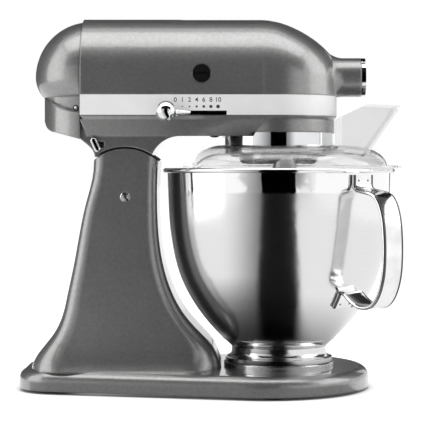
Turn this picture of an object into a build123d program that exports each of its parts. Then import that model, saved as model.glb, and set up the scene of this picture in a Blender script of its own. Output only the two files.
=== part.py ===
"""Tilt-head stand mixer with a steel bowl and a clear pouring shield.

Millimetres, +Z up, +X towards the attachment hub, origin on the table under the
middle of the mixer. Each piece is one node in parts/.
"""

import os
from math import cos, pi, radians, sin, sqrt

from build123d import *

os.makedirs("parts", exist_ok=True)

# ---------------------------------------------------------------- driving sizes
# Base and column
base_rear_x = -183.5
base_front_x = 152.0
base_height = 21.0
base_lift = 2.6
base_nose_radius = 100.0
base_tail_radius = 40.0
base_tail_half = 20.0
base_edge_round = 10.0
base_wall = 5.0
foot_radius = 11.0
foot_sink = 2.0
foot_inset = 20.0

# Column stations: height, rear x, front x, half-width, corner radius
column_stations = (
    (20.0, -171.5, 9.5, 61.0, 38.0),
    (25.0, -170.0, 8.8, 58.0, 33.0),
    (32.0, -166.5, 6.5, 55.0, 28.0),
    (42.0, -159.0, 1.5, 52.8, 23.0),
    (54.0, -149.5, -9.0, 51.3, 19.0),
    (70.0, -141.5, -23.5, 50.0, 16.0),
    (92.0, -136.0, -36.5, 48.8, 14.0),
    (120.0, -130.0, -45.6, 47.6, 12.5),
    (150.0, -124.5, -50.0, 46.6, 11.0),
    (180.0, -118.0, -51.3, 46.0, 10.0),
    (208.0, -111.5, -50.8, 45.5, 10.0),
    (236.0, -105.0, -49.5, 45.0, 10.0),
)
pin_station = 9
column_wall = 6.0
hollow_stations = 8
hinge_x = -81.0
hinge_z = 184.0
saddle_radius = 45.6
saddle_gap = 1.7
pin_radius = 4.5
pin_fit = 0.05
tongue_half = 15.0
tongue_round = 14.0
tongue_gap = 0.4
tilt_degrees = 45.0

# Bowl, clamp plate and shield
bowl_x = 65.0
clamp_radius = 53.0
clamp_height = 4.5
clamp_bore = 30.0
bowl_wall = 1.0
bowl_radius = 107.7
rim_height = 209.0
bead_radius = 2.3
neck_radius = 45.0
neck_height = 40.0
foot_ring_height = 8.0
handle_azimuth = -47.0
handle_width = 27.0
handle_reach = 39.0
handle_thick = 2.2
edge_roll = 1.4
seat_gap = 0.3

shield_top = 233.0
shield_wall = 2.0
shield_hole = 54.5
shield_flat = 78.0
flange_overhang = 7.3
shield_flange = bowl_radius + flange_overhang
chute_inner_x = 122.0
chute_lip_x = 180.5
chute_top = 272.0
chute_half = 31.0

# Head
head_half = 56.0
head_top = 355.0
head_spring = 298.0
head_wall = 3.0
head_seam_x = -122.8
band_low = 261.0
band_high = 280.2
band_thick = 1.6
bevel_inset = 3.0
bevel_low = 257.0
belly_low = 241.4
belly_taper = 20.0
gearcase_radius = 54.0
gearcase_low = 245.0
cover_inset = 2.4
cover_reach = 42.6
cover_low = 251.0
skirt_step = 8.7
hub_z = 299.0
hub_radius = 18.8
hub_end_x = 144.2
hub_bore = 12.7
hub_cap_thick = 4.2

# Controls
knob_radius = 9.8
lever_x = -33.0
lever_travel = 39.6
slot_height = 4.0
slot_end_x = 14.7
lock_x = -106.0
lock_z = 233.2
lock_travel = 5.0
brush_x = -8.7
brush_cap_radius = 8.2
clamp_knob_x = 131.0
clamp_knob_radius = 11.0

# Motor and gears
motor_z = 300.0
motor_rear_x = -96.0
motor_length = 62.0
stator_radius = 42.0
rotor_radius = 22.0
air_gap = 0.8
shaft_radius = 4.0
bearing_width = 8.0
bearing_radius = 9.0
worm_length = 20.0
worm_radius = 6.5
wheel_teeth = 26
wheel_module = 1.5
pinion_teeth = 12
centre_teeth = 56
spur_module = 1.5
gear_width = 9.0
centre_gear_z = 262.0
ring_teeth = 60
planet_teeth = 18
planet_module = 1.3
running_gap = 0.3
drip_radius = 52.0
drip_low = 227.2
ring_outer = 46.5
planetary_radius = 38.0
planetary_high = 226.5
planetary_low = 214.0
boss_radius = 11.5
boss_drop = 10.0
agitator_radius = 5.45
agitator_low = 168.0

# ------------------------------------------------------------- derived places
head_rise = head_top - head_spring
wheel_radius = wheel_teeth * wheel_module / 2
pinion_radius = pinion_teeth * spur_module / 2
centre_radius = centre_teeth * spur_module / 2
planet_offset = (ring_teeth - planet_teeth) * planet_module / 2
bowl_axis = Axis((bowl_x, 0, 0), (0, 0, 1))
side_plane = Plane.XZ
clamp_top = base_height + clamp_height
bowl_foot_z = base_height + 3.2
inner_neck = neck_radius - bowl_wall


def save(part: Part, name: str) -> None:
    """Label a finished piece and write its STEP file."""
    part.label = name
    export_step(part, f"parts/{name}.step")


def arch(inset: float, low: float) -> None:
    """Head cross-section, from a flat foot at low up to the rounded crown."""
    half = head_half - inset
    Polyline((-half, head_spring), (-half, low), (half, low), (half, head_spring))
    EllipticalCenterArc((0, head_spring), half, head_rise - inset, start_angle=0, arc_size=180)


def half_arch(inset: float, low: float) -> None:
    """Near half of the head cross-section, for a half turn about a vertical axis."""
    half = head_half - inset
    Polyline((0, head_top - inset), (0, low), (-half, low), (-half, head_spring))
    EllipticalCenterArc((0, head_spring), half, head_rise - inset, start_angle=90, arc_size=90)


def head_plan(inset: float, rear: float) -> None:
    """Plan of the head: straight sides, flat rear end, half-round nose."""
    half = head_half - inset
    Polyline((bowl_x, half), (rear, half), (rear, -half), (bowl_x, -half))
    ThreePointArc((bowl_x, -half), (bowl_x + half, 0), (bowl_x, half))


def gear_outline(teeth: int, module: float) -> None:
    """Spur gear outline with straight-flanked teeth."""
    root = module * (teeth / 2 - 1.2)
    tip = module * (teeth / 2 + 0.9)
    Circle(root)
    with PolarLocations(0, teeth):
        with Locations((root - 0.2, 0)):
            Trapezoid(
                module * 1.75,
                tip - root + 0.2,
                73,
                rotation=-90,
                align=(Align.CENTER, Align.MIN),
            )


# ------------------------------------------------------------------- pedestal
nose_x = base_front_x - base_nose_radius
tail_x = base_rear_x + base_tail_radius
screw_circle = 21.0
screw_count = 5
screw_radius = 2.0
screw_grip = 4.0
screw_places = [
    (bowl_x + screw_circle * cos(2 * pi * i / screw_count), screw_circle * sin(2 * pi * i / screw_count))
    for i in range(screw_count)
]
plate_floor = 1.2
foot_places = (
    (nose_x + base_nose_radius - foot_inset, 0),
    (nose_x + 5, base_nose_radius - foot_inset),
    (nose_x + 5, foot_inset - base_nose_radius),
    (tail_x, base_tail_half + foot_inset),
    (tail_x, -base_tail_half - foot_inset),
)
tilt = radians(tilt_degrees)
swing = (-sin(tilt), cos(tilt))
slot_round = tongue_round + tongue_gap
slot_reach = saddle_radius + 25.0


def base_outline(inset: float) -> None:
    """Plan of the base: a round nose under the bowl and a narrower tail."""
    with Locations((nose_x, 0)):
        Circle(base_nose_radius - inset)
    with Locations((tail_x, base_tail_half), (tail_x, -base_tail_half)):
        Circle(base_tail_radius - inset)
    make_hull()


with BuildPart() as pedestal:
    with BuildSketch(Plane.XY.offset(base_lift)):
        base_outline(0)
    extrude(amount=base_height - base_lift)
    rim_edges = pedestal.faces().sort_by(Axis.Z)[-1].edges()
    fillet(rim_edges, base_edge_round)
    for height, rear, front, half, corner in column_stations:
        with BuildSketch(Plane.XY.offset(height)):
            with Locations(((rear + front) / 2, 0)):
                RectangleRounded(front - rear, 2 * half, corner)
    loft()
    # Round saddle that the head's neck rolls over
    with BuildSketch(side_plane):
        with Locations((hinge_x, hinge_z + saddle_radius)):
            Rectangle(4 * saddle_radius, 2 * saddle_radius)
        with Locations((hinge_x, hinge_z)):
            Circle(saddle_radius, mode=Mode.SUBTRACT)
    extrude(amount=100, both=True, mode=Mode.SUBTRACT)
    # Slot that the hinge tongue swings in, open to the rear
    with BuildSketch(side_plane):
        with Locations((hinge_x, hinge_z)):
            Circle(slot_round)
        with BuildLine(Location((hinge_x, hinge_z, 0))):
            Polyline(
                (slot_round, 0),
                (slot_round, slot_reach),
                (slot_reach * swing[0] - slot_round, slot_reach),
                (slot_reach * swing[0] - slot_round * swing[1],
                 slot_reach * swing[1] + slot_round * swing[0]),
                (-slot_round * swing[1], slot_round * swing[0]),
                close=True,
            )
        make_face()
    extrude(amount=tongue_half + tongue_gap, both=True, mode=Mode.SUBTRACT)
    # Hollow underside
    with BuildSketch(Plane.XY.offset(base_lift)):
        base_outline(base_wall)
    extrude(amount=base_height - base_lift - base_wall, mode=Mode.SUBTRACT)
    for height, rear, front, half, corner in column_stations[:hollow_stations]:
        with BuildSketch(Plane.XY.offset(height - base_wall)):
            with Locations(((rear + front) / 2, 0)):
                RectangleRounded(
                    front - rear - 2 * column_wall,
                    2 * half - 2 * column_wall,
                    corner - column_wall,
                )
    loft(mode=Mode.SUBTRACT)
    # Foot bosses
    with BuildSketch(Plane.XY.offset(base_lift)):
        with Locations(*foot_places):
            Circle(foot_radius + 3)
    extrude(amount=base_height - base_lift - base_wall + 1)
    with BuildSketch(Plane.XY.offset(base_lift)):
        with Locations(*foot_places):
            Circle(foot_radius + 0.1)
    extrude(amount=foot_sink, mode=Mode.SUBTRACT)
    with BuildSketch(side_plane):
        with Locations((hinge_x, hinge_z)):
            Circle(pin_radius)
    extrude(amount=100, both=True, mode=Mode.SUBTRACT)
    with BuildSketch(Plane.XY.offset(base_height - screw_grip)):
        with Locations(*screw_places):
            Circle(screw_radius)
    extrude(amount=screw_grip, mode=Mode.SUBTRACT)
save(pedestal.part, "pedestal")

with BuildPart() as rubber_feet:
    with BuildSketch():
        with Locations(*foot_places):
            Circle(foot_radius)
    extrude(amount=base_lift + foot_sink)
    low_edges = rubber_feet.faces().group_by(Axis.Z)[0].edges()
    chamfer(low_edges, 0.8)
save(rubber_feet.part, "rubber_feet")

pin_half = column_stations[pin_station][3] + 0.6
with BuildPart() as hinge_pin:
    with BuildSketch(side_plane):
        with Locations((hinge_x, hinge_z)):
            Circle(pin_radius)
    extrude(amount=pin_half, both=True)
    chamfer(hinge_pin.edges(), 0.6)
save(hinge_pin.part, "hinge_pin")

# ----------------------------------------------------------------- clamp plate
recess_radius = 47.5
tab_radius = 44.6
lug_radius = 47.0
tab_low = clamp_top - 1.4
lug_low = base_height + 1.5
lug_high = tab_low - seat_gap
bayonet_turns = 3
tab_span = 40.0
tab_gap = radians(360 / bayonet_turns - tab_span)
gap_corner = (80 * cos(tab_gap), 80 * sin(tab_gap))

with BuildPart() as clamp_plate:
    with BuildSketch(Plane.XY.offset(base_height)):
        with Locations((bowl_x, 0)):
            Circle(clamp_radius)
    extrude(amount=clamp_height)
    fillet(clamp_plate.faces().sort_by(Axis.Z)[-1].edges(), 1.6)
    with BuildSketch(Plane.XY.offset(base_height + plate_floor)):
        with Locations((bowl_x, 0)):
            Circle(recess_radius)
    extrude(amount=clamp_height, mode=Mode.SUBTRACT)
    with BuildSketch(Plane.XY.offset(tab_low)):
        with Locations((bowl_x, 0)):
            Circle(recess_radius + 1)
            Circle(tab_radius, mode=Mode.SUBTRACT)
            with PolarLocations(0, bayonet_turns, start_angle=tab_span / 2):
                Polygon((0, 0), (80, 0), gap_corner, align=None, mode=Mode.SUBTRACT)
    extrude(amount=clamp_top - tab_low - 0.2)
    with BuildSketch(Plane.XY.offset(base_height)):
        with Locations(*screw_places):
            Circle(screw_radius + 0.2)
    extrude(amount=plate_floor, mode=Mode.SUBTRACT)
save(clamp_plate.part, "clamp_plate")

with BuildPart() as clamp_screws:
    with BuildSketch(Plane.XY.offset(base_height - screw_grip)):
        with Locations(*screw_places):
            Circle(screw_radius)
    extrude(amount=screw_grip + plate_floor)
    with BuildSketch(Plane.XY.offset(base_height + plate_floor)):
        with Locations(*screw_places):
            Circle(2 * screw_radius)
    extrude(amount=0.9 * screw_radius)
    fillet(clamp_screws.faces().group_by(Axis.Z)[-1].edges(), 0.8)
save(clamp_screws.part, "clamp_screws")


# ----------------------------------------------------------------------- bowl
bowl_depth = rim_height - neck_height
# Share of the bowl's radius, share of its depth, and how far the inner wall is raised
bowl_profile = (
    (0.6128, 0.1183, 0.6),
    (0.7762, 0.2580, 0.6),
    (0.8839, 0.3964, 0.3),
    (0.9471, 0.5444, 0.0),
    (0.9842, 0.7396, 0.0),
)


def bowl_curve(inset: float) -> None:
    """Bowl wall from the neck up to the rim, moved inwards by inset."""
    Spline(
        (neck_radius + 0.6 - inset, neck_height + inset),
        *[
            (reach * bowl_radius - inset, neck_height + rise * bowl_depth + lift * inset)
            for reach, rise, lift in bowl_profile
        ],
        (bowl_radius - inset, rim_height),
    )


with BuildPart() as bowl:
    with BuildSketch(side_plane):
        with BuildLine(Location((bowl_x, 0, 0))):
            bowl_curve(0)
            Polyline(
                (bowl_radius, rim_height),
                (bowl_radius - bowl_wall, rim_height),
            )
            bowl_curve(bowl_wall)
            Polyline(
                (neck_radius + 0.6 - bowl_wall, neck_height + bowl_wall),
                (0, neck_height + bowl_wall),
                (0, neck_height),
                (neck_radius + 0.6, neck_height),
            )
        make_face()
    revolve(axis=bowl_axis)
    with BuildSketch(side_plane):
        with Locations((bowl_x + bowl_radius + bead_radius - 0.4, rim_height)):
            Circle(bead_radius)
    revolve(axis=bowl_axis)
save(bowl.part, "bowl")

foot_flare = 51.5
foot_skirt = 44.2
lug_height = lug_high - lug_low
lug_gap = tab_gap + radians(4)
lug_corner = (80 * cos(lug_gap), 80 * sin(lug_gap))
with BuildPart() as bowl_foot:
    with BuildSketch(side_plane):
        with BuildLine(Location((bowl_x, 0, 0))):
            Polyline(
                (neck_radius - 4, neck_height - 0.02),
                (neck_radius + 0.6, neck_height - 0.02),
                (neck_radius + 0.6, neck_height - 4),
            )
            ThreePointArc(
                (neck_radius + 0.6, neck_height - 4),
                (neck_radius + 2.4, neck_height - 8.4),
                (foot_flare, neck_height - 10.2),
            )
            Polyline(
                (foot_flare, neck_height - 10.2),
                (foot_flare, clamp_top + seat_gap),
                (foot_skirt, clamp_top + seat_gap),
                (foot_skirt, lug_low),
                (neck_radius - 4, lug_low),
                (neck_radius - 4, neck_height - 0.02),
            )
        make_face()
    revolve(axis=bowl_axis)
    with BuildSketch(Plane.XY.offset(lug_low)):
        with Locations((bowl_x, 0)):
            Circle(lug_radius)
            Circle(foot_skirt - 0.5, mode=Mode.SUBTRACT)
            with PolarLocations(0, bayonet_turns, start_angle=tab_span / 2 - 2):
                Polygon((0, 0), (80, 0), lug_corner, align=None, mode=Mode.SUBTRACT)
    extrude(amount=lug_height)
save(bowl_foot.part, "bowl_foot")

# Strap handle, drawn in the radial plane through the handle
handle_plane = Plane(
    origin=(bowl_x, 0, 0),
    x_dir=(cos(radians(handle_azimuth)), sin(radians(handle_azimuth)), 0),
    z_dir=(sin(radians(handle_azimuth)), -cos(radians(handle_azimuth)), 0),
)
strap_in = bowl_radius + handle_thick / 2 + 0.1
strap_out = bowl_radius + handle_reach


def strap_curve() -> None:
    """Centre line of the strap, from its upper plate round to its lower plate."""
    FilletPolyline(
        (strap_in, rim_height - 5),
        (strap_in, rim_height - 17),
        (strap_out - 12, rim_height - 22),
        (strap_out, neck_height + 0.651 * bowl_depth),
        (strap_out - 11, neck_height + 0.3905 * bowl_depth),
        (strap_out - 24, neck_height + 0.2959 * bowl_depth),
        (0.8635 * bowl_radius, neck_height + 0.3373 * bowl_depth),
        (0.8143 * bowl_radius, neck_height + 0.274 * bowl_depth),
        radius=(5, 12, 40, 25, 12, 2.5),
    )


with BuildPart() as handle:
    with BuildSketch(handle_plane):
        with BuildLine():
            strap_curve()
        trace(line_width=handle_thick)
    extrude(amount=handle_width / 2, both=True)
    # Turned edges that stiffen the strap, clear of the bowl
    with BuildPart(mode=Mode.PRIVATE) as edges:
        for side in (-1, 1):
            with BuildSketch(handle_plane.offset(side * (handle_width - edge_roll) / 2)):
                with BuildLine():
                    strap_curve()
                trace(line_width=handle_thick + edge_roll)
            extrude(amount=edge_roll / 2, both=True)
        with Locations((bowl_x, 0, 0)):
            Cylinder(bowl_radius + 4, 3 * rim_height, mode=Mode.SUBTRACT)
    add(edges.part)
save(handle.part, "handle")


# --------------------------------------------------------------------- shield
flange_z = rim_height + bead_radius + seat_gap + shield_wall / 2
gap_half = 38.0
dome_foot = bowl_radius - 4.2
dome_run = 35.5
dome_rise = shield_top - shield_wall / 2 - flange_z
hole_lip = 4.5
grip_reach = 3.0
grip_width = 16.0
chute_mouth_x = 125.0
chute_step = 261.0
lip_back = 148.5
front_foot_x = 153.2
front_foot_z = 231.0
front_slope = (chute_lip_x - front_foot_x) / (chute_top - 1.5 - front_foot_z)
chute_wall = 2.2
chute_drop = 11.0
chute_sill = shield_top - chute_drop


def shield_curve() -> None:
    """Middle of the shield wall, from the flange up to the hole."""
    Line((shield_flange, flange_z), (dome_foot, flange_z))
    EllipticalCenterArc((dome_foot - dome_run, flange_z), dome_run, dome_rise, start_angle=0, arc_size=90)
    Line((dome_foot - dome_run, flange_z + dome_rise), (shield_hole, flange_z + dome_rise))


with BuildPart() as shield:
    with BuildSketch(side_plane):
        with BuildLine(Location((bowl_x, 0, 0))):
            shield_curve()
        trace(line_width=shield_wall)
        with Locations((bowl_x + shield_hole, shield_top)):
            Rectangle(shield_wall, hole_lip, align=(Align.MIN, Align.MAX))
    revolve(axis=bowl_axis)
    # Grip at the front of the flange
    with Locations((bowl_x + shield_flange, 0, flange_z)):
        Box(2 * grip_reach, grip_width, shield_wall)
    with BuildSketch(Plane.XY.offset(rim_height)):
        with Locations((bowl_x, 0)):
            Polygon(
                (0, 0),
                (-150, -150 * sin(radians(gap_half)) / cos(radians(gap_half))),
                (-150, 150 * sin(radians(gap_half)) / cos(radians(gap_half))),
                align=None,
            )
        with Locations(((chute_mouth_x + front_foot_x) / 2, 0)):
            RectangleRounded(front_foot_x - chute_mouth_x - 6, 2 * chute_half - 10, 6)
    extrude(amount=40, mode=Mode.SUBTRACT)
save(shield.part, "shield")

with BuildPart() as chute:
    with BuildSketch(side_plane):
        with BuildLine():
            Polyline(
                (chute_inner_x, chute_sill),
                (chute_inner_x, chute_step - 2),
                (chute_mouth_x, chute_step),
                (lip_back, chute_top),
                (chute_lip_x, chute_top - 1.5),
                (front_foot_x + front_slope * (chute_sill - front_foot_z), chute_sill),
                close=True,
            )
        make_face()
    extrude(amount=chute_half, both=True)
    with BuildSketch(side_plane):
        with BuildLine():
            Polyline(
                (chute_inner_x + chute_wall, chute_sill - 1),
                (chute_inner_x + chute_wall, chute_top + 5),
                (front_foot_x + front_slope * (chute_top + 5 - front_foot_z)
                 - chute_wall * sqrt(1 + front_slope**2), chute_top + 5),
                (front_foot_x + front_slope * (chute_sill - 1 - front_foot_z)
                 - chute_wall * sqrt(1 + front_slope**2), chute_sill - 1),
                close=True,
            )
        make_face()
    extrude(amount=chute_half - chute_wall, both=True, mode=Mode.SUBTRACT)
    # The foot follows the dome of the shield
    with BuildSketch(side_plane):
        with BuildLine(Location((bowl_x, 0, 0))):
            EllipticalCenterArc(
                (dome_foot - dome_run, flange_z),
                dome_run + shield_wall / 2 + 0.05,
                dome_rise + shield_wall / 2 + 0.05,
                start_angle=0,
                arc_size=90,
            )
            Polyline(
                (dome_foot - dome_run, shield_top + 0.05),
                (0, shield_top + 0.05),
                (0, flange_z),
                (dome_foot + shield_wall / 2 + 0.05, flange_z),
            )
        make_face()
    revolve(axis=bowl_axis, mode=Mode.SUBTRACT)
save(chute.part, "chute")


# -------------------------------------------------------------- upper housing
inner_crown = head_top - head_wall
nose_bulkhead_x = 33.0
nose_bulkhead = 5.0
nose_bearing_radius = 8.0
brush_hole = brush_cap_radius + 0.2
sleeve_x = 97.0
sleeve_end_x = 118.0
flare_end_x = 127.0
drive_radius = 8.0
shaft_fit = 0.05

# Nose stations: x, and height of the crown there
nose_stations = (
    (48.0, 355.0),
    (65.0, 352.4),
    (78.0, 347.6),
    (90.0, 341.4),
    (100.0, 334.8),
    (108.0, 328.2),
    (114.0, 322.2),
    (120.0, 316.0),
)


def nose_arch(station: float, top: float, inset: float) -> None:
    """Head section at a nose station, inside the half-round plan."""
    half = sqrt((head_half - inset) ** 2 - max(station - bowl_x, 0) ** 2)
    Polyline((-half, head_spring), (-half, band_high), (half, band_high), (half, head_spring))
    EllipticalCenterArc((0, head_spring), half, top - inset - head_spring, start_angle=0, arc_size=180)


with BuildPart() as upper_housing:
    with BuildSketch(Plane.YZ.offset(head_seam_x)):
        with BuildLine():
            arch(0, band_high)
        make_face()
    extrude(amount=nose_stations[0][0] - head_seam_x)
    for station, top in nose_stations:
        with BuildSketch(Plane.YZ.offset(station)):
            with BuildLine():
                nose_arch(station, top, 0)
            make_face()
    loft()
    # Hub, blended into the nose
    with BuildSketch(Plane.YZ.offset(sleeve_x)):
        with Locations((0, hub_z)):
            Circle(hub_radius)
    extrude(amount=hub_end_x - sleeve_x)
    with BuildPart(mode=Mode.PRIVATE) as flare:
        with BuildSketch(side_plane):
            with BuildLine():
                Polyline(
                    (flare_end_x, hub_z + hub_radius),
                    (flare_end_x, hub_z),
                    (flare_end_x - 22, hub_z),
                    (flare_end_x - 22, hub_z + hub_radius + 11),
                )
                Spline(
                    (flare_end_x - 22, hub_z + hub_radius + 11),
                    (flare_end_x - 11, hub_z + hub_radius + 3.2),
                    (flare_end_x, hub_z + hub_radius),
                    tangents=((1, -1), (1, 0)),
                )
            make_face()
        revolve(axis=Axis((0, 0, hub_z), (1, 0, 0)))
        with Locations((0, 0, band_high)):
            Box(400, 200, 60, align=(Align.CENTER, Align.CENTER, Align.MAX), mode=Mode.SUBTRACT)
    add(flare.part)
    with BuildSketch(Plane.YZ.offset(head_seam_x)):
        with BuildLine():
            arch(head_wall, band_high)
        make_face()
    extrude(amount=nose_stations[0][0] - head_seam_x, mode=Mode.SUBTRACT)
    for station, top in nose_stations[:-1]:
        with BuildSketch(Plane.YZ.offset(station)):
            with BuildLine():
                nose_arch(station, top, head_wall)
            make_face()
    loft(mode=Mode.SUBTRACT)
    # Inner sleeve that carries the attachment drive
    with BuildSketch(Plane.YZ.offset(sleeve_x)):
        with Locations((0, hub_z)):
            Circle(drive_radius + 4)
    extrude(amount=hub_end_x - sleeve_x)
    with BuildSketch(Plane.YZ.offset(sleeve_x)):
        with Locations((0, hub_z)):
            Circle(drive_radius + shaft_fit)
    extrude(amount=60, mode=Mode.SUBTRACT)
    with BuildSketch(Plane.YZ.offset(sleeve_end_x)):
        with Locations((0, hub_z)):
            Circle(hub_bore)
    extrude(amount=60, mode=Mode.SUBTRACT)
    # Bulkhead for the front end of the worm
    with BuildSketch(Plane.YZ.offset(nose_bulkhead_x)):
        with Locations((0, motor_z)):
            Circle(nose_bearing_radius + 3)
            Rectangle(2 * nose_bearing_radius + 6, inner_crown - motor_z + 1, align=(Align.CENTER, Align.MIN))
            Circle(nose_bearing_radius, mode=Mode.SUBTRACT)
    extrude(amount=nose_bulkhead)
    # Brush holes, one in each side
    with Locations(Location((brush_x, 0, motor_z), (90, 0, 0))):
        Cylinder(brush_hole, 3 * head_half, mode=Mode.SUBTRACT)
    # Stud hole of the attachment knob
    with Locations(Location((clamp_knob_x, hub_radius, hub_z), (90, 0, 0))):
        Cylinder(3.0 + shaft_fit, 2 * hub_radius - hub_bore, mode=Mode.SUBTRACT)
save(upper_housing.part, "upper_housing")

# -------------------------------------------------------------- lower housing
bevel_slope = 36.87
wall_step = band_thick + 0.2
floor_z = 248.0
plinth_x = -103.0
mid_bulkhead_x = -2.0
mid_bulkhead = 6.0
wheel_tip = wheel_module * (wheel_teeth / 2 + 0.9)
pinion_tip = spur_module * (pinion_teeth / 2 + 0.9)
centre_tip = spur_module * (centre_teeth / 2 + 0.9)
wheel_y = worm_radius + wheel_tip + running_gap
spur_distance = pinion_tip + centre_tip + running_gap
wheel_x = bowl_x - sqrt(spur_distance**2 - wheel_y**2)
wheel_shaft = 4.0
neck_rear = hinge_x - 27.0
neck_front = hinge_x + 25.0
neck_half = column_stations[pin_station][3]
centre_shaft_radius = 8.0

with BuildPart() as lower_housing:
    with BuildSketch(Plane.XY.offset(bevel_low)):
        with BuildLine():
            head_plan(bevel_inset, head_seam_x)
        make_face()
    extrude(amount=belly_low - bevel_low, taper=belly_taper)
    with BuildSketch(Plane.XY.offset(band_low)):
        with BuildLine():
            head_plan(0, head_seam_x)
        make_face()
    extrude(amount=bevel_low - band_low, taper=bevel_slope)
    with BuildSketch(Plane.XY.offset(band_low)):
        with BuildLine():
            head_plan(wall_step, head_seam_x)
        make_face()
    extrude(amount=band_high - band_low)
    with BuildSketch(Plane.XY.offset(gearcase_low)):
        with Locations((bowl_x, 0)):
            Circle(gearcase_radius)
    extrude(amount=bevel_low - gearcase_low)
    with BuildSketch(Plane.XY.offset(gearcase_low)):
        with Locations((bowl_x, 0)):
            Circle(gearcase_radius + 1)
    extrude(amount=belly_low - gearcase_low - 1, mode=Mode.SUBTRACT)
    # Neck that rolls over the column's saddle
    with BuildSketch(side_plane):
        with BuildLine():
            Line((head_seam_x, floor_z), (neck_front + 30, floor_z))
            Line((neck_front + 30, floor_z), (neck_front + 27, belly_low))
            TangentArc((neck_front + 27, belly_low), (neck_front - 1, belly_low - 22), tangent=(-1, 0))
            Line((neck_front - 1, belly_low - 22), (neck_rear - 1.6, belly_low - 22))
            Spline(
                (neck_rear - 1.6, belly_low - 22),
                (neck_rear - 3.4, belly_low - 13.4),
                (neck_rear - 8.9, belly_low - 7.6),
                (head_seam_x, belly_low - 3),
            )
            Line((head_seam_x, belly_low - 3), (head_seam_x, floor_z))
        make_face()
    extrude(amount=neck_half, both=True)
    with BuildSketch(side_plane):
        with Locations((hinge_x, hinge_z)):
            Circle(saddle_radius + saddle_gap)
    extrude(amount=100, both=True, mode=Mode.SUBTRACT)
    # Hinge tongue
    with BuildSketch(side_plane):
        with Locations((hinge_x, hinge_z)):
            Circle(tongue_round)
            Rectangle(2 * tongue_round, saddle_radius + 3, align=(Align.CENTER, Align.MIN))
            Circle(pin_radius + pin_fit, mode=Mode.SUBTRACT)
    extrude(amount=tongue_half, both=True)
    # Motor bay and gear bay
    with BuildSketch(Plane.XY.offset(bevel_low)):
        with BuildLine():
            head_plan(wall_step + head_wall, head_seam_x - 1)
        make_face()
    extrude(amount=band_high - bevel_low, mode=Mode.SUBTRACT)
    with BuildSketch(Plane.XY.offset(floor_z)):
        with BuildLine():
            head_plan(10, head_seam_x - 1)
        make_face()
    extrude(amount=bevel_low - floor_z, mode=Mode.SUBTRACT)
    # Bearing plinths behind and ahead of the motor
    for plinth, thick in ((plinth_x - bearing_width, bearing_width), (mid_bulkhead_x, mid_bulkhead)):
        with BuildSketch(Plane.YZ.offset(plinth)):
            with Locations((0, motor_z)):
                Circle(bearing_radius + 3)
                Rectangle(2 * bearing_radius + 6, motor_z - floor_z + 1, align=(Align.CENTER, Align.MAX))
                Circle(bearing_radius, mode=Mode.SUBTRACT)
        extrude(amount=thick)
    # Cradles under the stator
    for cradle in (motor_rear_x + 14, motor_rear_x + motor_length - 14):
        with BuildSketch(Plane.YZ.offset(cradle)):
            with Locations((0, floor_z - 1)):
                Rectangle(56, 22, align=(Align.CENTER, Align.MIN))
            with Locations((0, motor_z)):
                Circle(stator_radius + 0.1, mode=Mode.SUBTRACT)
        extrude(amount=4)
    # Gear shaft boss and bores
    with BuildSketch(Plane.XY.offset(floor_z - 1)):
        with Locations((wheel_x, wheel_y)):
            Circle(wheel_shaft + 3)
    extrude(amount=5)
    with BuildSketch(Plane.XY.offset(floor_z - 2)):
        with Locations((wheel_x, wheel_y)):
            Circle(wheel_shaft + shaft_fit)
    extrude(amount=8, mode=Mode.SUBTRACT)
    with BuildSketch(Plane.XY.offset(gearcase_low - 1)):
        with Locations((bowl_x, 0)):
            Circle(centre_shaft_radius + shaft_fit)
    extrude(amount=10, mode=Mode.SUBTRACT)
    # Slot of the speed lever
    with Locations((lever_x - 4, -head_half, band_low)):
        Box(slot_end_x - lever_x + 4, 20, slot_height, align=(Align.MIN, Align.CENTER, Align.MIN), mode=Mode.SUBTRACT)
    # Pocket of the lock lever
    with Locations((lock_x, -neck_half, lock_z)):
        Box(5.4 + lock_travel, 20, 5.6, mode=Mode.SUBTRACT)
save(lower_housing.part, "lower_housing")

with BuildPart() as trim_band:
    with BuildSketch(Plane.XY.offset(band_low + 0.05)):
        with BuildLine():
            head_plan(0, head_seam_x + 0.2)
        make_face()
    extrude(amount=band_high - band_low - 0.15)
    with BuildSketch(Plane.XY.offset(band_low)):
        with BuildLine():
            head_plan(band_thick, head_seam_x - 1)
        make_face()
    extrude(amount=band_high - band_low, mode=Mode.SUBTRACT)
    with Locations((lever_x - 3, -head_half, band_low)):
        Box(slot_end_x - lever_x + 3, 20, slot_height, align=(Align.MIN, Align.CENTER, Align.MIN), mode=Mode.SUBTRACT)
save(trim_band.part, "trim_band")

# ----------------------------------------------------------------- rear cover
cover_axis_x = head_seam_x + 6.2
cover_axis = Axis((cover_axis_x, 0, 0), (0, 0, 1))
ridge_z = 280.5
ridge_mid = 267.3
ridge_low = 263.0
dome_low = 258.0
cover_gap = 0.3


tail_half = head_half - cover_inset


def tail_plan(inset: float) -> None:
    """Plan of the skirt: half an ellipse, centred on the cover's axis."""
    with Locations((cover_axis_x, 0)):
        Ellipse(tail_half - skirt_step - inset, tail_half - 3 - inset)


def tail_profile(inset: float) -> None:
    """Near half of the dome: rounded crown above, drawn in again below."""
    half = tail_half - inset
    EllipticalCenterArc((0, head_spring), half, head_top - cover_inset - inset - head_spring, start_angle=90, arc_size=90)
    Spline((-half, head_spring), (2.6 - half, head_spring - 11), (8.7 - half, head_spring - 19.5))
    Polyline(
        (8.7 - half, head_spring - 19.5),
        (12.5 - half, dome_low + inset),
        (0, dome_low + inset),
        (0, head_top - cover_inset - inset),
    )


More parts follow.
